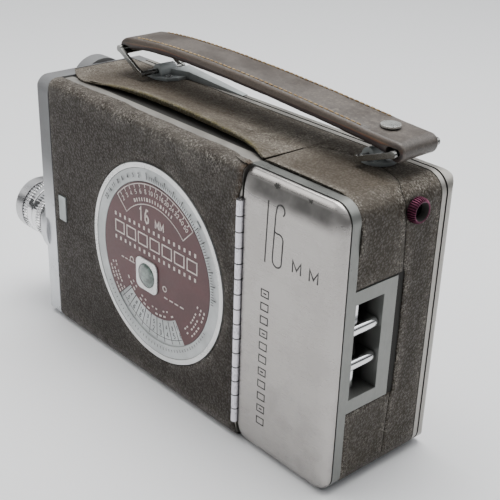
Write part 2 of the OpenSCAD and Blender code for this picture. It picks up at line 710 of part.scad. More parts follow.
module film_gate() color(steel) difference() {
    box([bulkhead_x + 0.05, -24, 26], [bulkhead_x + 0.55, -3, 66]);
    box([bulkhead_x - 1, lens_y - aperture_w / 2, lens_z - aperture_h / 2],
        [bulkhead_x + 1, lens_y + aperture_w / 2, lens_z + aperture_h / 2]);
    box([bulkhead_x - 1, -21.4, 37.5], [bulkhead_x + 1, -19.2, 50.5]);
}

// ---------- clockwork ----------
pillar_at = [[-38, 17], [69, 17], [69, 83], [-14, 83], [18, 16]];
module mechanism_frame() color(brass) difference() {
    union() {
        box([-44, plate_in_y, 12], [74, plate_in_y + mech_t, 88]);
        box([-52, plate_out_y, 12], [74, plate_out_y + mech_t, 100]);
        for (p = pillar_at) rod_y(p, 3, part_y1, plate_out_y + mech_t);
        rod_y(pawl_at, 0.95, plate_out_y, 23.6);
    }
    rod_y([barrel_x, barrel_z], arbor_r + 0.05, plate_in_y - 1, plate_out_y + 3);
    for (p = [[first_x, first_z], [second_x, shaft_z], [gov_x, gov_z]])
        rod_y(p, 1.05, plate_in_y - 1, plate_out_y + 3);
    rod_y(counter_pos, 1.55, plate_out_y - 1, plate_out_y + 3);
    rod_y(speed_pos, 2.05, plate_out_y - 1, plate_out_y + 3);
    // slot that clears the pinion of the shutter shaft
    box([second_x - 14.4, plate_in_y - 1, shaft_z - 6], [second_x - 9.6, plate_in_y + mech_t + 1, shaft_z + 6]);
}

module spring_barrel() color(brass) difference() {
    union() {
        rod_y([barrel_x, barrel_z], 27, 6, 16.1);
        along_y(16, 18) translate([barrel_x, barrel_z]) gear(barrel_n, gear_m);
    }
    rod_y([barrel_x, barrel_z], arbor_r + 0.05, 5, 19);
    ring_y([barrel_x, barrel_z], 5.2, 25.5, 7, 15);
}
module mainspring() color(steel) {
    turns = 7;
    inner = [for (i = [0 : turns * 20]) let (a = i * 18, r = 6 + i * 18.2 / (turns * 20)) r * [cos(a), sin(a)]];
    outer = [for (i = [turns * 20 : -1 : 0]) let (a = i * 18, r = 7 + i * 18.2 / (turns * 20)) r * [cos(a), sin(a)]];
    along_y(7.3, 14.7) translate([barrel_x, barrel_z]) polygon(concat(inner, outer));
}
// Square-shouldered arbor with the ratchet wheel, and the dish that carries the key
module winding_arbor() color(steel) difference() {
    union() {
        rod_y([barrel_x, barrel_z], arbor_r, plate_in_y, 22);
        along_y(22, 23.6) translate([barrel_x, barrel_z]) polygon([for (i = [0 : ratchet_n - 1])
            let (a = i * 360 / ratchet_n) each [ratchet_r * [cos(a), sin(a)], (ratchet_r - 1.6) * [cos(a + 2), sin(a + 2)]]]);
        rod_y([barrel_x, barrel_z], arbor_r - 0.1, 23, yr);
        rod_y([barrel_x, barrel_z], 18.6, yr - 1.1, yr - 0.1);
        // fork that the key folds in
        for (x = [-7, 5]) box([barrel_x + x, yr - 0.5, barrel_z - 2.5], [barrel_x + x + 2, key_y + 1.9, barrel_z + 2.5]);
    }
    rod_x([key_y, barrel_z], 1.05, barrel_x - 8, barrel_x + 8);
}

// Folding winding key, lying flat
module winding_key() color(silver) difference() {
    union() {
        rod_x([key_y, barrel_z], 1, barrel_x - 6.9, barrel_x + 6.9);
        rod_x([key_y, barrel_z], 1.9, barrel_x - 4.8, barrel_x + 4.8);
        along_y(key_y - 1.1, key_y + 1.1) translate([barrel_x, barrel_z]) {
            translate([-4.8, -6]) square([9.6, 6]);
            polygon([[-4.8, -4.5], [4.8, -4.5], [key_w, -9], [key_w, -key_len + 5], [key_w - 5, -key_len],
                [5 - key_w, -key_len], [-key_w, -key_len + 5], [-key_w, -9]]);
        }
    }
    along_y(key_y - 2, key_y + 2) translate([barrel_x, barrel_z])
        round_rect([4 - key_w, 4 - key_len], [key_w - 4, -9.5], [3, 3, 1, 1]);
}
// Pawl, standing just clear of the ratchet
module ratchet_pawl() color(steel) difference() {
    tip = (ratchet_r + 0.25) * [cos(pawl_dir - 12), sin(pawl_dir - 12)] + [barrel_x, barrel_z];
    union() {
        rod_y(pawl_at, 2.2, 22, 23.6);
        along_y(22, 23.6) polygon([pawl_at + [-1, 1.9], pawl_at - [1.2, 1.4], tip, tip + [0.5, 1.2]]);
    }
    rod_y(pawl_at, 1, 21, 25);
}

module first_wheel() color(brass) union() {
    rod_y([first_x, first_z], 1, plate_in_y, plate_out_y + mech_t);
    along_y(15.6, 18.3) translate([first_x, first_z]) gear(first_pin_n, gear_m, first_pin_p);
    along_y(18.6, 19.6) translate([first_x, first_z]) gear(first_n, wheel_m, 0);
}
module second_wheel() color(brass) union() {
    rod_y([second_x, shaft_z], 1, plate_in_y, plate_out_y + mech_t);
    along_y(18.35, 19.9) translate([second_x, shaft_z]) gear(second_pin_n, wheel_m, second_pin_p);
    rod_y([second_x, shaft_z], 14.2, 12.9, 14.4);
    for (i = [0 : face_n - 1]) translate([second_x, 12.95, shaft_z]) rotate([0, i * 360 / face_n, 0])
        rotate([90, 0, 0]) linear_extrude(1.45, scale = 1) polygon(
            [[10.6, -0.32], [13.8, -0.42], [13.8, 0.42], [10.6, 0.32]]);
}
module shutter_shaft() color(steel) union() {
    rod_x([shaft_y, shaft_z], 1, xs - 2.5, second_x - 10);
    along_x(second_x - 13.6, second_x - 10.4) translate([shaft_y, shaft_z])
        gear(shaft_n, gear_m, 180 / shaft_n, 0.55, 0.26);
    along_x(xs - 2.3, xs - 0.9) translate([shaft_y, shaft_z]) gear(shutter_n, wheel_m, 0);
}
module shutter() color(black) {
    rod_x([shutter_y, shaft_z], 1, xs - 3.3, bulkhead_x - 0.2);
    along_x(xs - 2.3, xs - 0.9) translate([shutter_y, shaft_z])
        gear(shutter_n, wheel_m, mesh_phase(0, shutter_n, shutter_n, 180));
    along_x(xs - 3.3, xs - 2.8) translate([shutter_y, shaft_z]) difference() {
        circle(21.5, $fn = 96);
        // open sector that lets the light through
        polygon([[0, -4], [-40, 10], [-40, 60], [20, 60], [2, 4]]);
    }
}
module governor() color(brass) {
    rod_y([gov_x, gov_z], 1, plate_in_y, plate_out_y + mech_t);
    along_y(18.35, 19.9) translate([gov_x, gov_z]) gear(second_pin_n, wheel_m, gov_pin_p);
    rod_y([gov_x, gov_z], 3, 6, 14);
    rod_y([gov_x, gov_z], 9.5, 13, 14.2);
    for (i = [0 : 2]) translate([gov_x, 0, gov_z]) rotate([0, i * 120, 0]) {
        rod_y([7, 0], 2.2, 7, 12);
        box([2, 8.8, -0.4], [6, 10.2, 0.4]);
    }
}
module claw() color(steel) {
    box([xs - 0.7, -24, 38.5], [xs + 0.5, -18, 46.5]);
    box([xs + 0.4, -20.9, 43.4], [bulkhead_x + 1.2, -19.7, 44.6]);
}

// ---------- controls on the key side ----------
module speed_knob() color(silver) difference() {
    union() {
        rod_y(speed_pos, 9, yr + 0.15, yr + 5.4);
        rod_y(speed_pos, 2, plate_out_y, yr + 1);
    }
    for (i = [0 : 11]) rod_y(speed_pos + 10.2 * [cos(i * 30), sin(i * 30)], 1.9, yr, yr + 6);
}
module counter_disc() color(grey) {
    rod_y(counter_pos, 15, 26, 26.8);
    rod_y(counter_pos, 1.5, plate_out_y, 26.4);
}
module counter_glass() color(glass) rod_y(window_pos, 4.95, yr - 1.6, yr - 0.2);

// ---------- carrying handle ----------
strap_thin = 1.2;               // how far the strap tapers at its ends
// Middle line of the strap from the front crossbar to the rear one, as [x, z]
function strap_mid(t) =
    let (x = bar_f[0] + (bar_r[0] - bar_f[0]) * t,
         z = bar_f[1] + (bar_r[1] - bar_f[1]) * t + 5.2 * pow(sin(180 * pow(t, 0.62)), 0.75))
    [x, z + 0.6];

module strap() color(leather) difference() {
    union() {
        along_y(strap_y - strap_w / 2, strap_y + strap_w / 2) {
            n = 24;
            top = [for (i = [0 : n]) strap_mid(i / n) + [0, strap_t / 2]];
            low = [for (i = [n : -1 : 0]) strap_mid(i / n) - [0, strap_t / 2]];
            polygon(concat(top, low));
        }
        for (b = [[bar_f, 1.6], [bar_r, -1.2]])
            rod_y(b[0] + [b[1], 0.2], 4.3, strap_y - strap_w / 2, strap_y + strap_w / 2);
    }
    // eyes round the crossbars, long enough for the loops to swing
    for (b = [[bar_f, 1, 4.2], [bar_r, -1, 3.2]])
        along_y(strap_y - 15, strap_y + 15) translate(b[0]) {
            for (s = [0, b[1] * b[2]]) translate([s, 0]) circle(wire_r + 0.5);
            translate([min(0, b[1] * b[2]), -wire_r - 0.5]) square([b[2], 2 * wire_r + 1]);
        }
    translate([rivet_x, strap_y, bar_r[1]]) cylinder(r = 1.5, h = 40, center = true);
}

// Tubular rivet through the rear end of the strap
rivet_x = 75.4;
module strap_rivet() color(silver) {
    t = (rivet_x - bar_f[0]) / (bar_r[0] - bar_f[0]);
    z = strap_mid(t)[1];
    translate([rivet_x, strap_y, z - strap_t / 2 - 0.8]) cylinder(r = 1.45, h = strap_t + 1.4);
    translate([rivet_x, strap_y, z + strap_t / 2 + 0.5]) cylinder(r = 3.8, h = 0.9);
    translate([rivet_x, strap_y, z - strap_t / 2 - 1.35]) cylinder(r = 3, h = 0.8);
}

// Loop of two cheeks and two round bars, from its pivot to its crossbar
module wire_loop(pivot, bar) {
    half = strap_w / 2 + 1.4;
    cheek_t = 1.4;
    d = bar - pivot;
    for (p = [pivot, bar]) rod_y(p, wire_r, strap_y - half, strap_y + half);
    for (y = [strap_y - half - 0.9, strap_y + half + 0.9 - cheek_t]) along_y(y, y + cheek_t) {
        for (p = [pivot, bar]) translate(p) circle(wire_r + 0.4);
        translate(pivot) rotate(atan2(d[1], d[0])) translate([0, -wire_r]) square([norm(d), 2 * wire_r]);
    }
}
module strap_loop_front() color(steel) wire_loop(post_f, bar_f);
module strap_loop_rear() color(steel) wire_loop(post_r, bar_r);

// Foot of the front post, in plan, and the fairing that runs back from it
post_foot = [[-9, -1], [-5, -4.5], [2, -5], [7, -2.5], [9, 2], [9, 7], [-9, 7]];
fairing_end = -17;
module strap_posts() color(steel) {
    difference() {
        union() {
            translate([post_f[0], strap_y, body_h]) linear_extrude(1.4) polygon(post_foot);
            translate([post_f[0] - 3, strap_y - 2.5, body_h]) cube([6, 9, post_f[1] - body_h]);
            rod_y(post_f, 3, strap_y - 2.5, strap_y + 6.5);
            intersection() {
                translate([0, 0, body_h]) linear_extrude(6) polygon([[post_f[0] + 2.8, strap_y + 3],
                    [post_f[0] + 10, strap_y + 7.5], [fairing_end, strap_y + 10.5],
                    [fairing_end, strap_y + 13.4], [post_f[0] + 2.8, strap_y + 13.4]]);
                along_y(strap_y, strap_y + 20) polygon([[post_f[0] + 2.8, body_h],
                    [post_f[0] + 2.8, body_h + 4], [fairing_end, body_h + 0.3], [fairing_end, body_h]]);
            }
        }
        post_holes(post_f);
    }
    difference() {
        union() {
            translate([post_r[0], strap_y, body_h]) cylinder(r = 7, h = 1.4);
            translate([post_r[0] - 3, strap_y - 6, body_h]) cube([6, 12, post_r[1] - body_h]);
            rod_y(post_r, 3, strap_y - 6, strap_y + 6);
        }
        post_holes(post_r);
    }
}
module post_holes(p) {
    rod_y(p, wire_r + 0.06, strap_y - 10, strap_y + 14);
    for (s = [-1, 1]) translate([p[0] + s * 5, strap_y, body_h - 1]) cylinder(r = 1.05, h = 2.45);
}
module strap_post_screws() color(steel) for (p = [post_f, post_r], s = [-1, 1])
    translate([p[0] + s * 5, strap_y, body_h]) difference() {
        union() {
            translate([0, 0, 1.4]) cylinder(r = 1.7, h = 0.7);
            cylinder(r = 1, h = 1.6);
        }
        translate([0, 0, 2.1]) cube([4, 0.4, 0.6], center = true);
    }

body_casting();
body_leather();
front_casting();
front_screws();
side_cover();
side_leather();
side_plate();
side_plate_leather();
side_plate_screws();
tripod_bush();
hinge_leaf_body();
hinge_pin();
dial_bezel();
dial_face();
dial_hub();
finder_tube();
finder_bezel();
finder_glass();
lens_mount_ring();
lens_barrel();
lens_front_glass();
lens_rear_glass();
film_gate();
mechanism_frame();
strap_posts();
strap_post_screws();
counter_glass();
latch_keepers();
door_panel();
door_frame();
door_leather();
hinge_leaf_door();
magazine_pusher();
latch_bar_upper();
latch_bar_lower();
latch_spring_upper();
latch_spring_lower();
dial_disc();
eyepiece();
eyepiece_glass();
focus_ring();
aperture_ring();
winding_arbor();
winding_key();
ratchet_pawl();
speed_knob();
run_button();
counter_disc();
spring_barrel();
mainspring();
first_wheel();
second_wheel();
shutter_shaft();
shutter();
governor();
claw();
strap();
strap_rivet();
strap_loop_front();
strap_loop_rear();
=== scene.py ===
"""Cine camera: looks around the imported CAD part, in metres, in the row frame."""

import math
import random

import bmesh
import bpy
import numpy as np
from mathutils import Matrix, Vector


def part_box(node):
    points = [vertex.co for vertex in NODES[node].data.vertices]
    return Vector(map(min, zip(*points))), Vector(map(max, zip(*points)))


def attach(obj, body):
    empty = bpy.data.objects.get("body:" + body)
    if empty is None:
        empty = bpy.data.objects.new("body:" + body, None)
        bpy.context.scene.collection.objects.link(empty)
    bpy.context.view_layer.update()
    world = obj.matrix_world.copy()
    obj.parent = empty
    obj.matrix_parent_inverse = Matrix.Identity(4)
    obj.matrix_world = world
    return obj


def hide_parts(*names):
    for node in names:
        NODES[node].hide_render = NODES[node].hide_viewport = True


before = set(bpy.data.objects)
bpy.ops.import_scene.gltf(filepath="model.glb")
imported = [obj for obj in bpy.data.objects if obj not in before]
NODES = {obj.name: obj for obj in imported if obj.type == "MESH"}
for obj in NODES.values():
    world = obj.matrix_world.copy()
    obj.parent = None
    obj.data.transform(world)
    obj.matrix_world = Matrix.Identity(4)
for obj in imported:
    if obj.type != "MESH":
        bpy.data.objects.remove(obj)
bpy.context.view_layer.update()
MM = 0.001

# ---- main sizes, in millimetres
XF, XR = -96.0, 96.0              # front and rear faces
SEAM_X = -86.5                    # joint between front casting and body
HINGE_X = 44.5
H = 120.0                         # height of the body
Y_SIDE = -29.5                    # dial side
Y_STRIP0, Y_STRIP1 = -25.0, -20.7  # bright strip along the dial side
Y_LEATHER = 21.8                  # far edge of the top leather
Y_KEY = 29.5                      # key side
CORNER_R, EDGE_R, LEATHER_T = 8.0, 4.5, 0.8
DIAL = (-8.5, 59.0)
DIAL_R = 44.0
HUB_AT = (DIAL[0] - 5.3, DIAL[1] - 6.8)
LENS = (-14.0, 44.0)
LATCH_Z0, LATCH_Z1 = 35.2, 86.4   # finger recess frame
EYE = (7.0, 110.8)
KNUCKLE_Z, KNUCKLES = (9.0, 107.0), 15
WINDING, SPEED, COUNTER = (42.0, 50.0), (-38.0, 26.0), (-39.0, 90.0)   # key side: dish, knob and window
PLATE_SCREWS = ((-79, 7), (89, 7), (-79, 113), (89, 113))


# ---- node materials
class Nodes:
    """Builds a node tree; values and sockets can be mixed freely."""

    def __init__(self, tree):
        self.tree = tree
        tree.nodes.clear()

    def add(self, kind, **props):
        node = self.tree.nodes.new(kind)
        for key, value in props.items():
            setattr(node, key, value)
        return node

    def put(self, socket, value):
        if isinstance(value, bpy.types.NodeSocket):
            self.tree.links.new(value, socket)
        elif isinstance(value, (tuple, list)) and len(value) == 3 and socket.type == "RGBA":
            socket.default_value = (*value, 1.0)
        else:
            socket.default_value = value

    def vec(self, op, a, b=None, scale=None):
        node = self.add("ShaderNodeVectorMath", operation=op)
        self.put(node.inputs[0], a)
        if b is not None:
            self.put(node.inputs[1], b)
        if scale is not None:
            self.put(node.inputs["Scale"], scale)
        return node.outputs["Value" if op in ("DOT_PRODUCT", "LENGTH") else "Vector"]

    def math(self, op, a, b=0.0, clamp=False):
        node = self.add("ShaderNodeMath", operation=op, use_clamp=clamp)
        self.put(node.inputs[0], a)
        self.put(node.inputs[1], b)
        return node.outputs[0]

    def mul(self, a, b, clamp=False):
        return self.math("MULTIPLY", a, b, clamp)

    def most(self, a, b):
        return self.math("MAXIMUM", a, b)

    def mix(self, fac, a, b):
        node = self.add("ShaderNodeMix", data_type="RGBA")
        self.put(node.inputs["Factor"], fac)
        self.put(node.inputs[6], a)
        self.put(node.inputs[7], b)
        return node.outputs[2]

    def span(self, value, lo, hi, to_lo=0.0, to_hi=1.0, smooth=True):
        node = self.add("ShaderNodeMapRange", interpolation_type="SMOOTHSTEP" if smooth else "LINEAR")
        for i, v in enumerate((value, lo, hi, to_lo, to_hi)):
            self.put(node.inputs[i], v)
        return node.outputs[0]


class Paint(Nodes):
    """A node material whose coordinates are the object's own, in millimetres."""

    def __init__(self, name):
        self.mat = bpy.data.materials.new(name)
        self.mat.use_nodes = True
        super().__init__(self.mat.node_tree)
        self.bsdf = self.add("ShaderNodeBsdfPrincipled")
        self.put(self.add("ShaderNodeOutputMaterial").inputs[0], self.bsdf.outputs[0])
        self.pos = self.vec("SCALE", self.add("ShaderNodeTexCoord").outputs["Object"], scale=1000.0)

    def done(self, color, rough, **more):
        """Sets the surface's inputs and gives the finished material."""
        for name, value in {"Base_Color": color, "Roughness": rough, **more}.items():
            self.put(self.bsdf.inputs[name.replace("_", " ")], value)
        return self.mat

    def noise(self, scale, detail=3.0, rough=0.55, stretch=(1, 1, 1)):
        node = self.add("ShaderNodeTexNoise")
        self.put(node.inputs["Vector"], self.vec("MULTIPLY", self.pos, stretch))
        for key, value in (("Scale", scale), ("Detail", detail), ("Roughness", rough)):
            self.put(node.inputs[key], value)
        return node.outputs[0]

    def cells(self, scale, warp):
        """Distance from the middle of the nearest grain, with the grains bent out of line."""
        wob = self.add("ShaderNodeTexNoise")
        self.put(wob.inputs["Vector"], self.pos)
        self.put(wob.inputs["Scale"], 1.3)
        node = self.add("ShaderNodeTexVoronoi")
        bent = self.vec("ADD", self.pos, self.vec("SCALE", wob.outputs["Color"], scale=warp))
        self.put(node.inputs["Vector"], bent)
        self.put(node.inputs["Scale"], scale)
        return node.outputs["Distance"]

    def axes(self):
        node = self.add("ShaderNodeSeparateXYZ")
        self.put(node.inputs[0], self.pos)
        return node.outputs

    def bump(self, height, strength, distance=0.1, normal=None):
        node = self.add("ShaderNodeBump")
        self.put(node.inputs["Height"], height)
        self.put(node.inputs["Strength"], strength)
        self.put(node.inputs["Distance"], distance * MM)
        if normal is not None:
            self.put(node.inputs["Normal"], normal)
        return node.outputs[0]

    def bevel(self, radius):
        node = self.add("ShaderNodeBevel", samples=6)
        self.put(node.inputs["Radius"], radius * MM)
        return node.outputs[0]

    def edge(self, radius, lo=0.02, hi=0.18):
        """1 on sharp edges, 0 away from them."""
        flat = self.add("ShaderNodeNewGeometry").outputs["Normal"]
        dot = self.vec("DOT_PRODUCT", self.bevel(radius), flat)
        return self.span(self.math("SUBTRACT", 1.0, dot), lo, hi)

    def grime(self, distance, lo=0.45, hi=0.95):
        """Painted shade from ambient occlusion, also standing for dirt: 1 deep in creases, 0 in the open."""
        node = self.add("ShaderNodeAmbientOcclusion", samples=4)
        self.put(node.inputs["Distance"], distance * MM)
        return self.span(node.outputs["AO"], lo, hi, 1.0, 0.0)

    def attr(self, name):
        return self.add("ShaderNodeAttribute", attribute_name=name).outputs["Fac"]


def metal(name, color, rough, metallic, grain, scratch, dirt_and_shade, bevel, spots=0.0, stain_and_shade=None):
    """Worn metal: uneven tone, fine directional scratches, painted shade in creases that also stands for dirt,
    and bright rubbed edges.
    The last argument, a mask function given the paint, paints the metal nearly black: painted shade in gaps and
    recesses, painted dark reflection bands, and real blackened paint, dark joints and chips."""
    p = Paint(name)
    cloud = p.noise(0.05, 4, 0.6)
    fine = p.noise(1.6, 5, 0.7, grain)
    tone = p.mix(p.span(cloud, 0.35, 0.65), [c * 0.90 for c in color], [min(1.0, c * 1.05) for c in color])
    tone = p.mix(p.mul(fine, 0.22), tone, [c * 0.62 for c in color])
    if spots:
        pits = p.span(p.noise(0.55, 2, 0.8), 0.66, 0.72)
        tone = p.mix(p.mul(pits, spots), tone, [c * 0.35 for c in color])
    tone = p.mix(p.mul(p.edge(0.35), 0.35), tone, [min(1.0, c * 1.35) for c in color])
    # Painted shade: darker in creases from ambient occlusion, also standing for dirt.
    tone = p.mix(p.mul(p.grime(2.2), dirt_and_shade), tone, [c * 0.16 for c in color])
    shine = p.math("ADD", p.span(fine, 0.3, 0.7, rough * 0.8, rough * 1.2),
                   p.span(cloud, 0.3, 0.7, -0.05, 0.07))
    # Painted shade and painted reflection bands from the mask go nearly black here, as do real blackened paint,
    # dark joints and chips.
    if stain_and_shade:
        mask = stain_and_shade(p)
        tone = p.mix(mask, tone, (0.008, 0.007, 0.005))
        shine = p.most(shine, p.mul(mask, 0.8))
        metallic = p.mul(p.math("SUBTRACT", 1.0, mask), metallic)
    return p.done(tone, shine, Metallic=metallic, Normal=p.bump(fine, scratch, 0.03, p.bevel(bevel)))


def casting_soot(p):
    """Painted shade, nearly black: under the lifted leather on the top, inside the gap beside the key side
    plate, and in the open seam at the rear.
    """
    x, y, z = p.axes()
    top = p.mul(p.span(z, 118.6, 118.9), p.mul(p.span(y, -16.6, -15.9), p.span(y, 21.6, 21.2)))
    gap = p.mul(p.span(y, 24.10, 24.17), p.span(y, 25.10, 25.03))
    rear = p.mul(p.span(x, 94.4, 94.7), p.span(y, 6.6, 6.2))
    return p.most(p.most(top, gap), rear)


def frame_soot(p):
    """Painted shade, nearly black: on the floor under the door's lifted leather, and deepening into the finger
    recess.
    """
    x, y, z = p.axes()
    under = p.mul(p.span(y, -20.75, -20.55), p.most(p.span(z, 118.3, 118.8), p.span(z, 87.2, 87.8)))
    off = p.math("ABSOLUTE", p.math("SUBTRACT", z, 61))
    inside = p.mul(p.span(x, 95.6, 88.0, smooth=False), p.span(off, 24, 22))
    inside = p.mul(inside, p.span(y, -20.6, -20.2))
    return p.most(under, p.mul(inside, 0.97))


def eye_soot(p):
    """Blackened inside of the eyecup."""
    out = p.vec("LENGTH", p.vec("MULTIPLY", p.vec("SUBTRACT", p.pos, (0, EYE[0], EYE[1])), (0, 1, 1)))
    return p.span(out, 3.75, 3.45)


def knuckle_soot(p):
    """Dark joints between the knuckles of the hinge."""
    z = p.math("DIVIDE", p.math("SUBTRACT", p.axes()[2], KNUCKLE_Z[0]),
               (KNUCKLE_Z[1] - KNUCKLE_Z[0]) / KNUCKLES)
    near = p.math("ABSOLUTE", p.math("SUBTRACT", p.math("FRACT", p.math("ADD", z, 0.5)), 0.5))
    return p.mul(p.span(near, 0.050, 0.030), 0.93)


def panel_soot(p):
    """Painted reflection: a dark band below the polished top edge of the door, standing in for a dark
    reflection there; and two real chips in that edge.
    """
    x, _, z = p.axes()
    # Painted dark reflection band under the top edge.
    band = p.mul(p.span(z, 107.5, 113.5), p.span(z, 118.2, 116.4))
    band = p.mul(band, p.mul(p.span(x, 46.0, 52.0, 0.6, 1.0), p.span(x, 93.0, 88.0, 0.5, 1.0)))
    mask = p.mul(band, p.span(p.noise(0.12, 3), 0.25, 0.75, 0.60, 0.82))
    for at, size in (((62.0, 0, 117.2), 1.1), ((79.0, 0, 117.0), 0.9)):
        away = p.vec("LENGTH", p.vec("MULTIPLY", p.vec("SUBTRACT", p.pos, at), (0.6, 0, 1)))
        ragged = p.math("ADD", away, p.span(p.noise(1.4, 3, 0.7), 0.3, 0.7, -0.5, 0.5))
        mask = p.most(mask, p.span(ragged, size, size - 0.35, 0.0, 0.95))
    return mask


def front_soot(p):
    """Painted reflection: the front casting is painted darker towards its top, standing in for a darker
    reflection there.
    """
    return p.span(p.axes()[2], 42.0, 88.0, 0.0, 0.72)


def lacquer(name, color, rough, dirt_and_shade, chip):
    """Paint with orange peel, painted shade in the creases that also stands for dirt, and bare metal on chipped
    edges.
    """
    p = Paint(name)
    cloud = p.noise(0.07, 4, 0.6)
    peel = p.noise(2.4, 2, 0.5)
    tone = p.mix(p.span(cloud, 0.35, 0.65), [c * 0.86 for c in color], [min(1.0, c * 1.08) for c in color])
    worn = p.mul(p.edge(0.4), p.span(p.noise(0.9, 4, 0.7), 0.46, 0.56))
    tone = p.mix(p.mul(worn, chip), tone, (0.6, 0.6, 0.6))
    # Painted shade: darker in creases from ambient occlusion, also standing for dirt.
    tone = p.mix(p.mul(p.grime(2.0), dirt_and_shade), tone, [c * 0.2 for c in color])
    return p.done(tone, p.span(p.noise(0.8, 4, 0.65), 0.3, 0.7, rough * 0.82, rough * 1.2),
                  Metallic=p.mul(worn, chip), Normal=p.bump(peel, 0.12, 0.05, p.bevel(0.2)))


def glass(name, tint):
    p = Paint(name)
    return p.done(p.mix(p.span(p.noise(0.25, 3), 0.3, 0.7), tint, [c * 0.9 for c in tint]),
                  p.span(p.noise(0.8, 5, 0.7), 0.35, 0.75, 0.02, 0.09),
                  Transmission_Weight=1.0, IOR=1.5, Normal=p.bump(p.noise(0.5, 2), 0.02, 0.05))


def leather(name, base, light, scuff, torn, upright_shade):
    """Pebbled covering with stains, painted shade in creases that also stands for dirt, pale speckled scuffs
    where the attribute wear is high and bare hide where fray is high. The last argument is how much painted
    shade darkens the upright faces against the top, as light from above would leave them."""
    p = Paint(name)
    cells = p.cells(0.95, warp=0.9)
    fine = p.noise(3.2, 4, 0.7)
    grain = p.math("ADD", p.span(cells, 0.0, 0.75), p.mul(fine, 0.55))
    big = p.noise(0.028, 5, 0.62)
    mid = p.noise(0.24, 4, 0.65)
    tone = p.mix(p.span(big, 0.34, 0.66), base, light)
    tone = p.mix(p.mul(p.span(mid, 0.42, 0.68), 0.35), tone, [c * 0.66 for c in base])
    tone = p.mix(p.mul(p.span(cells, 0.32, 0.62), 0.45), tone, [c * 0.45 for c in base])
    tone = p.mix(p.mul(p.span(fine, 0.35, 0.75), 0.25), tone, [c * 1.5 for c in light])
    wear = p.attr("wear")
    speck = p.span(p.noise(1.15, 6, 0.82), 0.50, 0.58)
    patch = p.span(p.noise(0.16, 4, 0.7), 0.36, 0.60)
    rub = p.mul(p.mul(wear, patch), speck, clamp=True)
    stray = p.mul(p.span(p.noise(0.75, 4, 0.8), 0.665, 0.70), 0.30)
    tone = p.mix(p.most(rub, stray), tone, scuff)
    haze = p.mul(p.mul(wear, p.span(p.noise(0.10, 3), 0.3, 0.7)), 0.32, clamp=True)
    tone = p.mix(haze, tone, [0.6 * s + 0.4 * l for s, l in zip(scuff, light)])
    frayed = p.attr("fray")
    tone = p.mix(p.mul(frayed, p.span(p.noise(0.8, 5, 0.8), 0.35, 0.6)), tone, torn)
    # Painted shade: darker in creases from ambient occlusion, also standing for dirt.
    tone = p.mix(p.mul(p.grime(2.4), 0.6), tone, [c * 0.14 for c in base])
    # Painted shade: upright faces are painted darker than the top, as light from above leaves them; rubbed
    # spots are spared.
    split = p.add("ShaderNodeSeparateXYZ")
    p.put(split.inputs[0], p.add("ShaderNodeNewGeometry").outputs["Normal"])
    upright = p.mul(p.span(split.outputs[2], 0.75, 0.25), p.math("SUBTRACT", 1.0, rub))
    tone = p.mix(p.mul(upright, upright_shade), tone, [c * 0.12 for c in base])
    return p.done(tone, p.span(mid, 0.3, 0.7, 0.42, 0.60),
                  Specular_IOR_Level=p.span(cells, 0.12, 0.60, 0.50, 0.12),
                  Normal=p.bump(p.math("SUBTRACT", p.mul(rub, 0.3), grain), 1.0, 0.30, p.bump(mid, 0.25, 0.6)))


# Painted shade: the second leather is a darker copy of the first, for the upright side faces that light from
# above leaves in shade.
TAUPE = leather("covering_taupe", (0.074, 0.061, 0.047), (0.112, 0.093, 0.071), (0.50, 0.46, 0.40),
                (0.125, 0.108, 0.047), 0.50)
TAUPE_SHADED = leather("covering_side_shaded", (0.045, 0.037, 0.030), (0.063, 0.052, 0.043), (0.46, 0.43, 0.38),
                     (0.085, 0.050, 0.026), 0.30)
PANEL = metal("panel_satin", (0.425, 0.405, 0.388), 0.27, 1.0, (0.15, 1, 3.0), 0.10, 0.35, 0.3, stain_and_shade=panel_soot)
CASTING = metal("casting_satin", (0.365, 0.350, 0.322), 0.42, 0.75, (1, 1, 1), 0.35, 0.75, 0.35, 0.35,
                casting_soot)
FRONT = metal("front_satin", (0.64, 0.65, 0.67), 0.30, 0.9, (1, 1, 0.3), 0.15, 0.5, 0.5, 0.1, front_soot)
GREY = lacquer("grey_lacquer", (0.40, 0.43, 0.43), 0.38, 0.6, 0.6)
FRAME_GREY = metal("frame_grey", (0.215, 0.220, 0.208), 0.36, 0.7, (1, 1, 0.2), 0.2, 0.6, 0.3, stain_and_shade=frame_soot)
STEEL = metal("steel", (0.55, 0.55, 0.56), 0.30, 1.0, (1, 1, 1), 0.3, 0.7, 0.2)
WIRE = metal("wire_plated", (0.26, 0.26, 0.25), 0.26, 1.0, (1, 0.2, 1), 0.2, 0.7, 0.2)
KNUCKLE = metal("knuckle_plated", (0.90, 0.87, 0.94), 0.30, 0.35, (1, 1, 0.2), 0.2, 0.9, 0.15,
                stain_and_shade=knuckle_soot)
CHROME = metal("chrome", (0.86, 0.86, 0.87), 0.13, 1.0, (1, 0.1, 1), 0.12, 0.5, 0.3)
BRASS = metal("brass", (0.62, 0.45, 0.17), 0.30, 1.0, (0.2, 1, 1), 0.3, 0.6, 0.2)
RIVET = metal("rivet_plated", (0.72, 0.73, 0.70), 0.30, 0.9, (1, 1, 1), 0.3, 0.6, 0.3, 0.5)
BEZEL = metal("bezel_silvered", (0.80, 0.80, 0.79), 0.34, 0.55, (1, 1, 1), 0.15, 0.55, 0.35)
DISC = lacquer("disc_silvered", (0.56, 0.58, 0.58), 0.36, 0.5, 0.2)
MAROON = lacquer("maroon_face", (0.078, 0.019, 0.021), 0.36, 0.4, 0.0)
ALLOY = metal("maroon_alloy", (0.125, 0.026, 0.060), 0.34, 0.75, (1, 1, 1), 0.2, 0.95, 0.1, stain_and_shade=eye_soot)
BLACK = lacquer("black_paint", (0.018, 0.018, 0.019), 0.42, 0.3, 0.15)
GLASS = glass("clear_glass", (0.90, 0.95, 0.93))
EYE_GLASS = glass("eye_glass", (0.05, 0.05, 0.06))
WHITE = lacquer("white_disc", (0.72, 0.71, 0.66), 0.45, 0.3, 0.0)

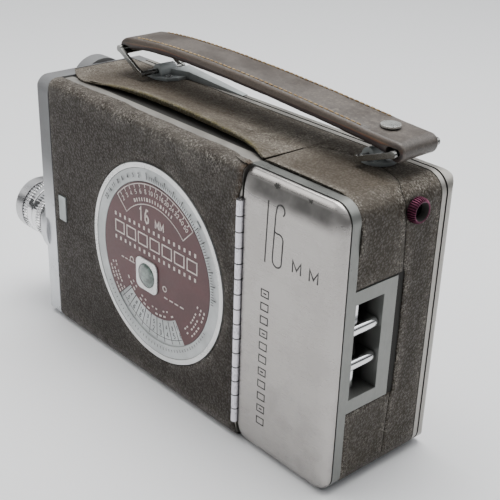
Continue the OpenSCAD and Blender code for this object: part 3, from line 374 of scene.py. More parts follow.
for mat, names in (
    (CASTING, "body_casting side_cover side_plate"),
    (FRONT, "front_casting"),
    (PANEL, "door_panel"),
    (FRAME_GREY, "door_frame"),
    (GREY, "run_button strap_posts"),
    (BEZEL, "dial_bezel dial_hub finder_bezel"),
    (DISC, "dial_disc"),
    (MAROON, "dial_face"),
    (STEEL, "front_screws side_plate_screws tripod_bush hinge_pin lens_mount_ring film_gate strap_post_screws "
            "latch_keepers magazine_pusher latch_spring_upper latch_spring_lower winding_arbor ratchet_pawl "
            "mainspring shutter_shaft claw lens_barrel"),
    (KNUCKLE, "hinge_leaf_body hinge_leaf_door"),
    (CHROME, "latch_bar_upper latch_bar_lower winding_key speed_knob focus_ring aperture_ring"),
    (WIRE, "strap_loop_front strap_loop_rear"),
    (RIVET, "strap_rivet"),
    (BRASS, "mechanism_frame spring_barrel first_wheel second_wheel governor"),
    (ALLOY, "eyepiece"),
    (BLACK, "finder_tube shutter"),
    (EYE_GLASS, "eyepiece_glass"),
    (GLASS, "finder_glass lens_front_glass lens_rear_glass counter_glass"),
    (WHITE, "counter_disc"),
):
    for node in names.split():
        mesh = NODES[node].data
        mesh.materials.clear()
        mesh.materials.append(mat)


# ---- mesh helpers
def new_object(name, verts, faces):
    """Mesh object from points in millimetres."""
    mesh = bpy.data.meshes.new(name)
    mesh.from_pydata([tuple(c * MM for c in v) for v in verts], [], faces)
    obj = bpy.data.objects.new(name, mesh)
    bpy.context.scene.collection.objects.link(obj)
    return obj


def sharpen(obj, degrees):
    """Shades the object smooth except on edges sharper than the angle."""
    obj.data.set_sharp_from_angle(angle=math.radians(degrees))


def make(name, verts, faces, mat, body, slot, attrs=None, smooth=0):
    """A piece that rides on a body; attrs holds one value per point."""
    obj = new_object(name, verts, faces)
    mesh = obj.data
    mesh.validate()
    mesh.materials.append(mat)
    for key, values in (attrs or {}).items():
        layer = mesh.attributes.new(key, "FLOAT", "POINT")
        layer.data.foreach_set("value", np.asarray(values, dtype=np.float32))
    mesh.polygons.foreach_set("use_smooth", [True] * len(mesh.polygons))
    if smooth:
        sharpen(obj, smooth)
    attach(obj, body)
    return obj


def tidy_normals(obj, merge=1e-6):
    """Merges points that coincide and turns all faces outwards."""
    bm = bmesh.new()
    bm.from_mesh(obj.data)
    bmesh.ops.remove_doubles(bm, verts=bm.verts, dist=merge)
    bmesh.ops.recalc_face_normals(bm, faces=bm.faces)
    bm.to_mesh(obj.data)
    bm.free()


def grid_faces(rows, cols, wrap=False):
    """Quads over a grid of points stored row by row."""
    out = []
    for i in range(rows - 1):
        for j in range(cols if wrap else cols - 1):
            a, b = i * cols + j, i * cols + (j + 1) % cols
            out.append((a, a + cols, b + cols, b))
    return out


def apply(obj):
    """Applies the modifiers to the object's mesh."""
    deps = bpy.context.evaluated_depsgraph_get()
    mesh = bpy.data.meshes.new_from_object(obj.evaluated_get(deps))
    obj.modifiers.clear()
    obj.data = mesh


def cut(obj, cutter):
    """Boolean difference; the cutter is thrown away."""
    mod = obj.modifiers.new("cut", "BOOLEAN")
    mod.operation, mod.object, mod.solver = "DIFFERENCE", cutter, "EXACT"
    apply(obj)
    bpy.data.objects.remove(cutter)


def prism(plan, lo, hi, axis):
    """Cutter: a closed outline swept along an axis; plan holds the two other coordinates in order."""
    n = len(plan)

    def at(p, h):
        return {"x": (h, p[0], p[1]), "y": (p[0], h, p[1]), "z": (p[0], p[1], h)}[axis]

    verts = [at(p, lo) for p in plan] + [at(p, hi) for p in plan]
    faces = [tuple(range(n)), tuple(range(2 * n - 1, n - 1, -1))]
    faces += [(i, (i + 1) % n, n + (i + 1) % n, n + i) for i in range(n)]
    obj = new_object("cutter", verts, faces)
    tidy_normals(obj)
    return obj


def polar(center, r, a):
    return (center[0] + r * math.cos(math.radians(a)), center[1] + r * math.sin(math.radians(a)))


def circle(center, r, n=96):
    return [polar(center, r, 360 * i / n) for i in range(n)]


def rect(x0, z0, x1, z1):
    return [(x0, z0), (x1, z0), (x1, z1), (x0, z1)]


def smoothstep(lo, hi, v):
    t = min(1.0, max(0.0, (v - lo) / (hi - lo)))
    return t * t * (3 - 2 * t)


def bell(v, width):
    return math.exp(-(v / width) ** 2)


def wobble(a, b=0.0, seed=0.0):
    """Cheap smooth noise in -1..1."""
    return (math.sin(a * 0.37 + seed) * 0.5 + math.sin(a * 0.83 + b * 0.41 + seed * 1.7) * 0.3
            + math.sin(a * 1.9 - b * 0.9 + seed * 2.3) * 0.2)


# ---- wrap path round top, rear and underside
ARC = CORNER_R * math.pi / 2
TOP_LEN = XR - CORNER_R
REAR_LEN = H - 2 * CORNER_R


def on_wrap(s):
    """Point (x, z) of the body's outline and its outward direction; s is x on the top, then runs on round."""
    if s <= TOP_LEN:
        return (s, H), (0.0, 1.0)
    s -= TOP_LEN
    if s <= ARC:
        out = math.sin(s / CORNER_R), math.cos(s / CORNER_R)
        return (TOP_LEN + CORNER_R * out[0], H - CORNER_R + CORNER_R * out[1]), out
    s -= ARC
    if s <= REAR_LEN:
        return (XR, H - CORNER_R - s), (1.0, 0.0)
    s -= REAR_LEN
    if s <= ARC:
        out = math.cos(s / CORNER_R), -math.sin(s / CORNER_R)
        return (TOP_LEN + CORNER_R * out[0], CORNER_R + CORNER_R * out[1]), out
    s -= ARC
    return (TOP_LEN - s, 0.0), (0.0, -1.0)


S_REAR = TOP_LEN + ARC                      # where the rear face starts
S_UNDER = TOP_LEN + 2 * ARC + REAR_LEN      # where the underside starts


def s_rear(z):
    return S_REAR + (H - CORNER_R - z)


def s_under(x):
    return S_UNDER + (TOP_LEN - x)


def seam(x):
    """Edge of the door in plan."""
    x = min(x, XR)
    if x < 51:
        y = -0.06 + math.sqrt(max(0.0, 81 - (54 - x) ** 2))
    else:
        y = -34 + math.sqrt(45.0 ** 2 - (x - 66) ** 2)
    return max(y, 1.7) if x > 88 else y


def wrapped(samples, columns, lo, hi, lift=None, edges=(1, 1, 1, 1), extra=None):
    """Patch over the wrap path; lo and hi give its y limits at s, and edges says which of its four are free.
    A patch is points, faces, and the wear and fray at each point."""
    pts, wear = [], []
    s0, s1 = samples[0], samples[-1]
    for s in samples:
        (x, z), (nx, nz) = on_wrap(s)
        y0, y1 = lo(s), hi(s)
        for c in columns:
            y = y0 + (y1 - y0) * c
            near = min([9.0] + [d for d, on in zip((s - s0, s1 - s, y - y0, y1 - y), edges) if on])
            drop = 0.30 * bell(near, 0.55)
            up = 0.05 * wobble(s * 0.5, y * 0.5, seed=1.3) - drop
            if lift:
                up += lift(s, y, y0)
            pts.append((x + nx * up, y, z + nz * up))
            rubbed = max(0.0, 1.0 - near / 5.0) * 0.8
            wear.append(max(rubbed, extra(pts[-1])) if extra else rubbed)
    return pts, grid_faces(len(samples), len(columns)), wear, [0.0] * len(pts)


def steps(a, b, d):
    n = max(2, int(math.ceil(abs(b - a) / d)) + 1)
    return [a + (b - a) * i / (n - 1) for i in range(n)]


def edge_steps(n):
    """Fractions 0..1, closer together at both ends."""
    return [0.5 - 0.5 * math.cos(math.pi * i / (n - 1)) * (0.72 + 0.28 * abs(math.cos(math.pi * i / (n - 1))))
            for i in range(n)]


# ---- leather over top, rear and underside
# Free edge of the top covering: x, edge y, height of the bow
BOW = ((-86.5, -14.6, 0.0), (-80, -17.0, 0.0), (-75, -17.6, 0.1), (-68, -16.4, 0.6), (-60, -15.3, 1.7),
       (-50, -14.2, 2.7), (-37, -13.4, 3.4), (-22, -13.2, 3.7), (-8, -13.4, 3.7), (5, -13.8, 3.5),
       (17, -14.4, 3.2), (28, -15.0, 2.8), (36, -16.4, 1.7), (44.7, -19.4, 0.3))


def bow(x):
    return tuple(float(np.interp(x, [b[0] for b in BOW], [b[k] for b in BOW])) for k in (1, 2))


def top_wear(x, y):
    """How rubbed the top covering is at a point."""
    w = 0.75 * bell(x - 22, 26) * bell(y + 2, 15)
    w += 0.55 * bell(x - 40, 9)
    w += 0.35 * bell(y - 20, 3.0)
    w += 0.5 * bell(x + 84, 5)
    return min(1.0, w)


def top_front():
    """Top covering ahead of the door, with its dial-side edge shrunk, bowed up and curled over."""
    pts, wear, fray = [], [], []
    xs = steps(SEAM_X, 44.7, 1.3)
    flank, rest = 9, edge_steps(56)
    for x in xs:
        y0, rise = bow(x)
        curl = min(0.8, 0.2 + rise * 0.3)
        low = 0.34 * rise
        for k in range(flank):
            a = k / flank
            if a < 0.4:
                z = low + (rise - curl - low) * a / 0.4 if rise > 0.3 else -0.35 * (1 - a / 0.4)
                y = y0 + 0.5 * (1 - a / 0.4) ** 2 * min(1.0, rise)
            else:
                t = (a - 0.4) / 0.6 * math.pi / 2
                z = max(0.0, rise - curl) + curl * math.sin(t) if rise > 0.3 else 0.0
                y = y0 + curl * (1 - math.cos(t))
            z += 0.10 * wobble(x * 2.1, k * 0.7, seed=11) * min(1.0, rise)
            pts.append((x, y + 0.12 * wobble(x * 1.3, k, seed=4), H + z))
            wear.append(0.2)
            fray.append(min(1.0, rise / 2.0))
        for c in rest:
            y = y0 + curl + (Y_LEATHER - y0 - curl) * c
            d = y - y0 - curl
            z = rise * (1 - smoothstep(-6.0, 21.0, d)) / (1 - smoothstep(-6.0, 21.0, 0.0))
            near = min(Y_LEATHER - y, x - SEAM_X, 44.7 - x + 2)
            z += 0.08 * wobble(x * 0.4, y * 0.4, seed=2) - 0.3 * bell(max(near, 0), 0.55)
            pts.append((x, y, H + z))
            wear.append(max(top_wear(x, y), 0.8 * bell(d, 2.5)))
            fray.append(0.55 * bell(d, 1.6) * min(1.0, rise / 2.0))
    cols = flank + len(rest)
    return pts, grid_faces(len(xs), cols), wear, fray


def cover(name, stands_for, patches, body, mat, cutters=()):
    """One covering piece from grid patches: each is given thickness and cut alone, then all are joined.
    cutters holds (patch number, cutter) pairs."""
    whole = bmesh.new()
    for k, (pts, quads, wear, fray) in enumerate(patches):
        marks = {"wear": wear, "fray": fray}
        obj = make(name + "_patch", pts, quads, mat, body, "leather_taupe", marks, smooth=50)
        solid = obj.modifiers.new("thickness", "SOLIDIFY")
        solid.thickness, solid.offset = LEATHER_T * MM, -1.0
        apply(obj)
        for at, cutter in cutters:
            if at == k:
                cut(obj, cutter)
        whole.from_mesh(obj.data)
        if k < len(patches) - 1:
            bpy.data.objects.remove(obj)
    whole.to_mesh(obj.data)
    whole.free()
    obj.name = obj.data.name = name
    sharpen(obj, 50)
    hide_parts(stands_for)


def seam_at(s):
    """Edge of the door's leather; on the rear face it leans away from the hinge."""
    (x, z), _ = on_wrap(s)
    lean = smoothstep(S_REAR - 6, S_REAR + 4, s) * (1 - smoothstep(S_UNDER - 8, S_UNDER, s))
    return seam(x) + lean * (float(np.interp(z, (4, 36, 61, 86, 100, 118), (0.8, 2.6, 2.9, 2.5, 1.9, 0.3))))


def body_lo(s):
    (x, z), _ = on_wrap(s)
    beside = smoothstep(88, 86.4, z) * smoothstep(33.5, 35.2, z) if x > 90 else 0.0
    return seam_at(s) + 0.35 + 1.1 * beside


def rear_wear(p):
    x, y, z = p
    w = 0.7 * bell(z - 118, 4) * smoothstep(86, 92, x)
    w += 0.55 * bell(y - 20.5, 2.4) * smoothstep(60, 90, x)
    if z > 100:
        w += 0.9 * bell(y - seam(x), 2.2) * smoothstep(50, 60, x)
    w += 0.5 * bell(z - 4, 7)
    return min(1.0, w)


def corner_steps(a, b, flat):
    """Samples of the wrap path from a to b: wide on flats, close on the two bends."""
    marks = sorted({a, b, *[m for m in (TOP_LEN, S_REAR, S_REAR + REAR_LEN, S_UNDER) if a < m < b]})
    out = []
    for m0, m1 in zip(marks, marks[1:]):
        part = steps(m0, m1, 1.0 if m1 - m0 < ARC + 0.01 else flat)
        out += part if not out else part[1:]
    return out


tongue_x = steps(XF + 1.9, SEAM_X - 0.02, 0.7)
tongue = wrapped(tongue_x, edge_steps(30), lambda s: -14.5 + (SEAM_X - s) * 4.5 / 7.7, lambda s: Y_LEATHER,
                 extra=lambda p: 0.7)
body_parts = [
    tongue,
    top_front(),
    wrapped(corner_steps(44.72, s_under(44.72), 1.6), edge_steps(26), body_lo, lambda s: Y_LEATHER,
            edges=(0, 0, 1, 1), extra=rear_wear),
    wrapped([s_under(44.7) + d for d in steps(0, 44.7 - SEAM_X, 2.5)], edge_steps(34),
            lambda s: Y_STRIP1 + 0.1, lambda s: Y_LEATHER, edges=(0, 1, 1, 1)),
]
cover("body_leather_cover", "body_leather", body_parts, "body", TAUPE,
      ((3, prism(circle((0, 0), 8.1), -2, 3, "z")), (2, prism(circle(EYE, 4.15, 48), XR - 4, XR + 3, "x"))))

# ---- door leather


def door_hi(s):
    return seam_at(s) - 0.02


def door_lo(s):
    return Y_STRIP1 + 0.15 + 1.5 * smoothstep(50, 46, s) + 0.5 * smoothstep(86, 60, s)


def door_wear(p):
    x, y, z = p
    w = 0.95 * bell(seam(x) - y, 3.2) * smoothstep(50, 56, x) if z > 60 else 0.2
    w += 0.5 * bell(x - 48, 6)
    w += 0.35 * bell(z - 117, 5) * smoothstep(86, 92, x)
    return min(1.0, w)


def door_lift(s, y, y0):
    """The covering's edge stands up a little beside the bright strip."""
    top = smoothstep(45, 50, s) * (1 - smoothstep(84, 90, s))
    rear = smoothstep(S_REAR - 2, S_REAR + 3, s) * (1 - smoothstep(S_REAR + 8, S_REAR + 15, s))
    return 1.15 * bell(y - y0, 3.0) * max(top, 0.8 * rear)


door_parts = [
    wrapped(corner_steps(45.05, s_rear(LATCH_Z1 + 0.6), 1.3), edge_steps(30), door_lo, door_hi,
            lift=door_lift, extra=door_wear),
    wrapped(corner_steps(s_rear(LATCH_Z0 - 0.6), s_under(45.05), 1.6), edge_steps(30),
            lambda s: Y_STRIP1 + 0.15, door_hi, extra=door_wear),
]
cover("door_leather_cover", "door_leather", door_parts, "door", TAUPE)

# ---- side leather
SIDE_TOP = -22.1


def side_path():
    """Points (y, z) and outward directions, from the top edge over the side to the lower edge."""
    out = [((y, H + 0.42), (0.0, 1.0)) for y in steps(SIDE_TOP, Y_STRIP0 - 0.1, 0.8)]
    c = Y_SIDE + EDGE_R
    for i in range(1, 13):
        a = math.pi / 2 * i / 12
        k = 0.42 * (1 - i / 12)
        out.append(((c - (EDGE_R + k) * math.sin(a), H - EDGE_R + (EDGE_R + k) * math.cos(a)),
                    (-math.sin(a), math.cos(a))))
    out += [((Y_SIDE, z), (-1.0, 0.0)) for z in steps(H - EDGE_R, EDGE_R, 1.5)[1:]]
    for i in range(1, 13):
        a = math.pi / 2 * i / 12
        out.append(((c - EDGE_R * math.cos(a), EDGE_R - EDGE_R * math.sin(a)), (-math.cos(a), -math.sin(a))))
    return out


def side_rear_edge(z):
    """Where the side covering stops beside the hinge."""
    away = smoothstep(107.5, 112.5, z) + 1 - smoothstep(4.0, 8.5, z)
    return 42.5 + 1.7 * min(1.0, away) + 0.12 * wobble(z * 1.7, seed=8)


def side_patch():
    pts, wear, fray = [], [], []
    cols = edge_steps(96)
    path = side_path()
    for i, ((y, z), (ny, nz)) in enumerate(path):
        edge = side_rear_edge(z)
        for c in cols:
            x = SEAM_X + 0.1 + (edge - SEAM_X - 0.1) * c
            near = min(x - SEAM_X, edge - x, 9.0)
            if i < 12:
                near = min(near, abs(y - SIDE_TOP) if z > H - 1 else 9.0)
            up = 0.05 * wobble(x * 0.35, z * 0.35, seed=5) - 0.32 * bell(max(near, 0.0), 0.6)
            shift = 0.0
            if z > H - 0.2 and y > -24:
                shift = -3.0 * smoothstep(30, 44, x) + 0.35 * wobble(x * 0.5, seed=3) + 1.1 * bell(x + 45, 14)
            pts.append((x, y + ny * up + shift, z + nz * up))
            dial = math.hypot(x - DIAL[0], z - DIAL[1])
            w = 0.55 * bell(z - 118, 4.5)
            w += 0.75 * bell(dial - DIAL_R - 1, 2.6) * (0.45 + 0.55 * smoothstep(-10, 30, x))
            w += 0.6 * bell(x - edge, 5) * smoothstep(60, 100, z)
            w += 0.5 * bell(x - SEAM_X, 3) + 0.6 * bell(z - 3, 4)
            w += 0.35 * bell(x - 12, 34) * bell(z - 112, 12)
            wear.append(min(1.0, w))
            fray.append(min(1.0, 0.8 * bell(x - edge, 1.9) * smoothstep(88, 104, z)
                            + 0.5 * bell(dial - DIAL_R, 0.9) * smoothstep(80, 100, z)))
    return pts, grid_faces(len(path), len(cols)), wear, fray


BUTTON = rect(-82.1, 54.5, -75.7, 67.3)
side_holes = circle(DIAL, DIAL_R + 0.75, 160), BUTTON
cover("side_leather_cover", "side_leather", [side_patch()], "body", TAUPE_SHADED,
      [(0, prism(outline, Y_SIDE - 3, Y_SIDE + 4, "y")) for outline in side_holes])


# ---- leather panel on the key side
def rounded(x0, z0, x1, z1, radii, n):
    """Closed rounded rectangle; radii run from the lower left corner round to the upper left."""
    out = []
    for (cx, cz, a0), r in zip(((x0, z0, 180), (x1, z0, 270), (x1, z1, 0), (x0, z1, 90)), radii):
        middle = (cx + r * (1 if cx == x0 else -1), cz + r * (1 if cz == z0 else -1))
        out += [polar(middle, r, a0 + 90 * i / n) for i in range(n + 1)]
    return out


def key_panel():
    x0, z0, x1, z1 = SEAM_X + 4.1, 4.1, XR - 4.1, H - 4.1
    pts, wear, fray = [], [], []
    rows, cols = edge_steps(70), edge_steps(100)
    for r in rows:
        z = z0 + (z1 - z0) * r
        k = min(z - z0, z1 - z)
        cut_in = 5 - math.sqrt(max(0.0, 25 - (5 - k) ** 2)) if k < 5 else 0.0
        for c in cols:
            x = x0 + 0.6 * cut_in + (x1 - cut_in - x0 - 0.6 * cut_in) * c
            near = min(x - x0, x1 - x, z - z0, z1 - z)
            up = 0.05 * wobble(x * 0.4, z * 0.4, seed=9) + 0.22 * (1 - bell(near, 0.7)) - 0.22
            pts.append((x, Y_KEY - 0.02 + up, z))
            ring = math.hypot(x - WINDING[0], z - WINDING[1])
            wear.append(min(1.0, 0.7 * math.exp(-near / 3) + 0.7 * bell(ring - 20, 3)))
            fray.append(0.0)
    return pts, grid_faces(len(rows), len(cols)), wear, fray


key_holes = [(WINDING, 19.3), (SPEED, 11.1), (COUNTER, 6.3)] + [(at, 3.5) for at in PLATE_SCREWS]
cover("key_side_leather_cover", "side_plate_leather", [key_panel()], "body", TAUPE_SHADED,
      [(0, prism(circle(at, r, 64), Y_KEY - 4, Y_KEY + 3, "y")) for at, r in key_holes])


# ---- door panel, a pressed pan with soft edges
def door_pan():
    """Closed pressing: front, rounded border (wider at top and bottom), inturned lip and hollow back."""
    x0, x1, z0, z1 = HINGE_X + 0.3, XR, 0.2, H - 0.2
    y_back, n = Y_STRIP0 - 0.1, 18
    turns = [math.pi / 2 * k / n for k in range(n + 1)]
    outer = [(11.0 * c, 7.0 * c, 1.5 * c, Y_SIDE + 3.7 * (1 - math.sin(a)))
             for a in turns[:0:-1] for c in (1 - math.cos(a),)]
    lip = [(0.0, 0.0, 0.0, y_back - 0.6), (0.75, 0.75, 0.75, y_back - 0.5), (0.75, 0.75, 0.75, y_back)]
    inner = [(1.3 + 10.6 * c, 1.3 + 6.6 * c, 1.3 + 1.5 * c, Y_SIDE + 1.1 + 3.3 * (1 - math.sin(a)))
             for a in turns for c in (1 - math.cos(a),)]
    rings = outer + lip + inner
    verts = []
    for tall, wide, left, y in rings:
        hinge_r, free_r = max(0.4, 4.2 - left), max(0.7, CORNER_R - wide)
        verts += [(px, y, pz) for px, pz in rounded(
            x0 + left, z0 + tall, x1 - wide, z1 - tall, (hinge_r, free_r, free_r, hinge_r), 12)]
    m = len(verts) // len(rings)
    faces = grid_faces(len(rings), m, wrap=True)
    faces += [tuple(range(m)), tuple(range((len(rings) - 1) * m, len(rings) * m))]
    return verts, faces


pan = make("door_panel_pan", *door_pan(), PANEL, "door", "satin_silver")
tidy_normals(pan)
cut(pan, prism(rect(43.0, -31.6, 46.3, -24), 8.4, 107.6, "z"))
sharpen(pan, 40)
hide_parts("door_panel")


# ---- knurled parts, turned about X or Y
def lathe(name, axis, center, profile, teeth, mat, body, slot, depth=0.0, stands_for=None):
    """Turned part; profile lists (place on the axis, radius, knurl 0..1) and teeth are cut depth deep."""
    count = teeth * 4 if teeth else 96
    verts = []
    for h, r, k in profile:
        for i in range(count):
            t = 2 * math.pi * i / count
            rr = r - (depth * k if i % 4 >= 2 else 0.0)
            a, b = center[0] + rr * math.cos(t), center[1] + rr * math.sin(t)
            verts.append((h, a, b) if axis == "x" else (a, h, b))
    faces = grid_faces(len(profile), count, wrap=True)
    last = (len(profile) - 1) * count
    faces += [(last + i, i, (i + 1) % count, last + (i + 1) % count) for i in range(count)]
    obj = make(name, verts, faces, mat, body, slot)
    tidy_normals(obj)
    sharpen(obj, 32)
    if stands_for:
        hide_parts(stands_for)


lathe("eyepiece_knurled", "x", EYE, [
    (96.25, 2.6, 0), (96.25, 4.6, 0), (96.5, 5.0, 1), (98.5, 4.85, 1), (99.2, 4.55, 1), (99.55, 4.15, 0.3),
    (99.6, 3.95, 0), (99.45, 3.6, 0), (98.8, 3.2, 0), (97.4, 2.75, 0)],
    32, ALLOY, "eyepiece", "maroon_alloy", 0.6, "eyepiece")
lathe("eyepiece_sleeve", "x", EYE, [
    (96.4, 2.5, 0), (96.4, 3.3, 0), (90.4, 3.3, 0), (90.1, 3.0, 0), (90.1, 2.5, 0)],
    0, ALLOY, "eyepiece", "maroon_alloy")
lathe("focus_ring_knurled", "x", LENS, [
    (-104.4, 10.3, 0), (-104.4, 13.6, 0), (-104.8, 14.0, 1), (-107.9, 14.0, 1), (-108.2, 13.4, 0),
    (-111.9, 13.4, 0), (-112.4, 12.9, 0), (-112.4, 10.3, 0)],
    60, CHROME, "focus_ring", "satin_silver", 0.45, "focus_ring")
lathe("aperture_ring_knurled", "x", LENS, [
    (-112.9, 10.3, 0), (-112.9, 12.9, 0), (-113.3, 13.2, 0), (-116.7, 13.2, 0), (-117.0, 13.5, 1),
    (-120.2, 13.5, 1), (-120.6, 13.0, 0), (-120.6, 10.3, 0)],
    54, CHROME, "aperture_ring", "satin_silver", 0.45, "aperture_ring")


# ---- strap
S_Y, S_W, S_T = 14.0, 20.0, 4.8
BAR_F, BAR_R = (-75.45, 131.4), (87.3, 129.5)


def strap_mid(t):
    x = BAR_F[0] + (BAR_R[0] - BAR_F[0]) * t
    z = BAR_F[1] + (BAR_R[1] - BAR_F[1]) * t + 5.2 * max(0.0, math.sin(math.pi * max(t, 0.0) ** 0.62)) ** 0.75
    return np.array((x, z + 0.6))


def strap_frame(t):
    d = strap_mid(min(1.0, t + 0.004)) - strap_mid(max(0.0, t - 0.004))
    d /= np.linalg.norm(d)
    return strap_mid(t), np.array((-d[1], d[0]))


def strap_outline():
    """Closed outline in X and Z: over the top, round the rear fold, back underneath, round the front fold."""
    top, low = [], []
    for i in range(2, 99):
        t = i / 100
        p, n = strap_frame(t)
        swell = 0.35 * bell(t - 0.02, 0.05) + 0.5 * bell(t - 0.98, 0.04)
        top.append(p + n * (S_T / 2 + swell))
        low.append(p - n * (S_T / 2 + swell * 1.4))
    rear_c, front_c = np.array(BAR_R) + (-0.9, 0.2), np.array(BAR_F) + (1.4, 0.2)
    rear = [rear_c + 4.25 * np.array((math.cos(a), math.sin(a))) for a in np.linspace(1.15, -1.75, 16)]
    front = [front_c + 4.25 * np.array((math.cos(a), math.sin(a))) for a in np.linspace(-2.0, -4.55, 16)]
    top = [q for q in top if q[0] < rear[0][0] - 0.8 and q[0] > front[-1][0] + 0.8]
    low = [q for q in low if q[0] < rear[-1][0] - 0.8 and q[0] > front[0][0] + 0.8]
    loop = top + rear + low[::-1] + front
    # even spacing and light smoothing
    pts = np.array(loop)
    seg = np.linalg.norm(np.roll(pts, -1, 0) - pts, axis=1)
    at = np.concatenate([[0], np.cumsum(seg)])
    closed = np.vstack([pts, pts[:1]])
    s = np.linspace(0, at[-1], 361)[:-1]
    pts = np.stack([np.interp(s, at, closed[:, k]) for k in (0, 1)], axis=1)
    for _ in range(6):
        pts = 0.5 * pts + 0.25 * (np.roll(pts, 1, 0) + np.roll(pts, -1, 0))
    return pts


def strap_mesh():
    loop = strap_outline()
    tang = np.roll(loop, -1, 0) - np.roll(loop, 1, 0)
    out = np.stack([tang[:, 1], -tang[:, 0]], 1)
    out /= np.linalg.norm(out, axis=1)[:, None]
    if np.sum((loop - loop.mean(0)) * out) < 0:
        out = -out
    half = S_W / 2
    # across the width: offset from the middle, inset, depth of the stitch groove
    rows = [(-half, 1.55, 0), (-half + 0.08, 1.0, 0), (-half + 0.35, 0.5, 0), (-half + 0.8, 0.16, 0),
            (-half + 1.25, 0, 0), (-half + 1.55, 0, 0.22), (-half + 1.95, 0, 0.28), (-half + 2.35, 0, 0),
            (-half + 4, 0, -0.12), (-5, 0, -0.25), (0, 0, -0.32)]
    rows += [(-y, i, g) for y, i, g in rows[-2::-1]]
    verts, wear, side, layer = [], [], [], []
    for y, inset, groove in rows:
        for (x, z), (nx, nz) in zip(loop, out):
            g = groove if nz > 0.5 and -66 < x < 72 else 0.0
            rough = 0.10 * wobble(x * 0.6, y * 0.8, seed=6)
            k = -inset - g + rough
            verts.append((x + nx * k, S_Y + y, z + nz * k))
            wear.append(0.55 if inset > 0.1 else 0.12 + 0.4 * bell(x - 60, 30))
            side.append(1.0 if inset >= 0.5 else 0.0)
            t = (x - BAR_F[0]) / (BAR_R[0] - BAR_F[0])
            mid = strap_mid(min(1.0, max(0.0, t)))[1]
            layer.append(min(1.0, max(0.0, 0.5 + (z - mid) / S_T)))
    m = len(loop)
    faces = grid_faces(len(rows), m, wrap=True)
    # flat caps over the two sides, inside the rounded edges
    faces += [tuple(range(m)), tuple(range(len(rows) * m - 1, (len(rows) - 1) * m - 1, -1))]
    return verts, faces, wear, side, layer


def strap_paint():
    p = Paint("strap_leather")
    side, layer, wear = p.attr("side"), p.attr("layer"), p.attr("wear")
    fine = p.noise(2.6, 5, 0.7, (0.35, 1, 1))
    cloud = p.noise(0.06, 4, 0.6)
    pores = p.cells(1.5, warp=0.7)
    top = p.mix(p.span(cloud, 0.35, 0.65), (0.070, 0.058, 0.050), (0.112, 0.096, 0.084))
    top = p.mix(p.mul(p.span(pores, 0.3, 0.7), 0.4), top, (0.03, 0.024, 0.02))
    rub = p.mul(p.mul(wear, p.span(p.noise(0.5, 5, 0.75), 0.5, 0.64)), 0.55)
    top = p.mix(rub, top, (0.34, 0.30, 0.25))
    edge = p.mix(p.span(layer, 0.30, 0.62), (0.030, 0.020, 0.020), (0.175, 0.068, 0.034))
    edge = p.mix(p.span(layer, 0.66, 0.76), edge, (0.19, 0.12, 0.062))
    edge = p.mix(p.span(layer, 0.80, 0.9), edge, (0.095, 0.072, 0.055))
    crack = p.mul(p.span(p.noise(1.1, 4, 0.75, (1, 1, 3.0)), 0.48, 0.62), 0.5)
    edge = p.mix(crack, edge, (0.035, 0.018, 0.014))
    x = p.axes()[0]
    dark_end = p.most(p.span(x, -66.0, -76.0), p.span(x, 80.0, 88.0))
    edge = p.mix(p.mul(dark_end, 0.7), edge, (0.030, 0.022, 0.020))
    tone = p.mix(side, top, edge)
    # Painted shade: darker in creases from ambient occlusion, also standing for dirt.
    tone = p.mix(p.mul(p.grime(2.0), 0.6), tone, (0.012, 0.009, 0.008))
    return p.done(tone, p.span(cloud, 0.3, 0.7, 0.40, 0.58),
                  Normal=p.bump(p.math("SUBTRACT", fine, p.mul(pores, 0.5)), 0.5, 0.12))


def thread_paint():
    p = Paint("strap_thread")
    twist = p.noise(4.5, 2, 0.6, (1, 2.4, 2.4))
    tone = p.mix(p.span(p.noise(0.12, 3), 0.35, 0.65), (0.30, 0.19, 0.085), (0.44, 0.31, 0.155))
    return p.done(p.mix(p.mul(p.span(twist, 0.4, 0.7), 0.5), tone, (0.12, 0.07, 0.03)),
                  p.span(twist, 0.3, 0.7, 0.55, 0.75), Normal=p.bump(twist, 0.6, 0.15))


sv, sf, s_wear, s_side, s_layer = strap_mesh()
strap = make("strap_body", sv, sf, strap_paint(), "strap", "leather_brown",
             {"wear": s_wear, "side": s_side, "layer": s_layer})
tidy_normals(strap, merge=1e-7)
for bar, ends in ((BAR_F, (0.0, 4.2)), (BAR_R, (-3.2, 0.0))):   # slots for the wire loops
    slot = [polar((bar[0] + end, bar[1]), 1.65, a) for end, a0 in zip(ends, (90, -90))
            for a in np.linspace(a0, a0 + 180, 14)]
    cut(strap, prism(slot, -8, 36, "y"))
cut(strap, prism(circle((75.4, S_Y), 1.55, 32), 118, 145, "z"))
sharpen(strap, 40)
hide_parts("strap")


def capsule(verts, faces, a, b, r, n=6):
    """Adds a small rounded stitch from a to b."""
    a, b = np.array(a), np.array(b)
    d = b - a
    size = np.linalg.norm(d)
    d = d / size
    u = np.cross(d, (0, 1, 0))
    u /= np.linalg.norm(u)
    v = np.cross(d, u)
    base = len(verts)
    for t, k in ((0.0, 0.35), (0.12, 0.8), (0.3, 1.0), (0.7, 1.0), (0.88, 0.8), (1.0, 0.35)):
        for j in range(n):
            w = 2 * math.pi * j / n
            verts.append(tuple(a + d * size * t + (u * math.cos(w) + v * math.sin(w)) * r * k))
    for i in range(5):
        for j in range(n):
            p, q = base + i * n + j, base + i * n + (j + 1) % n
            faces.append((p, q, q + n, p + n))
    faces.append(tuple(base + j for j in range(n))[::-1])
    faces.append(tuple(base + 5 * n + j for j in range(n)))


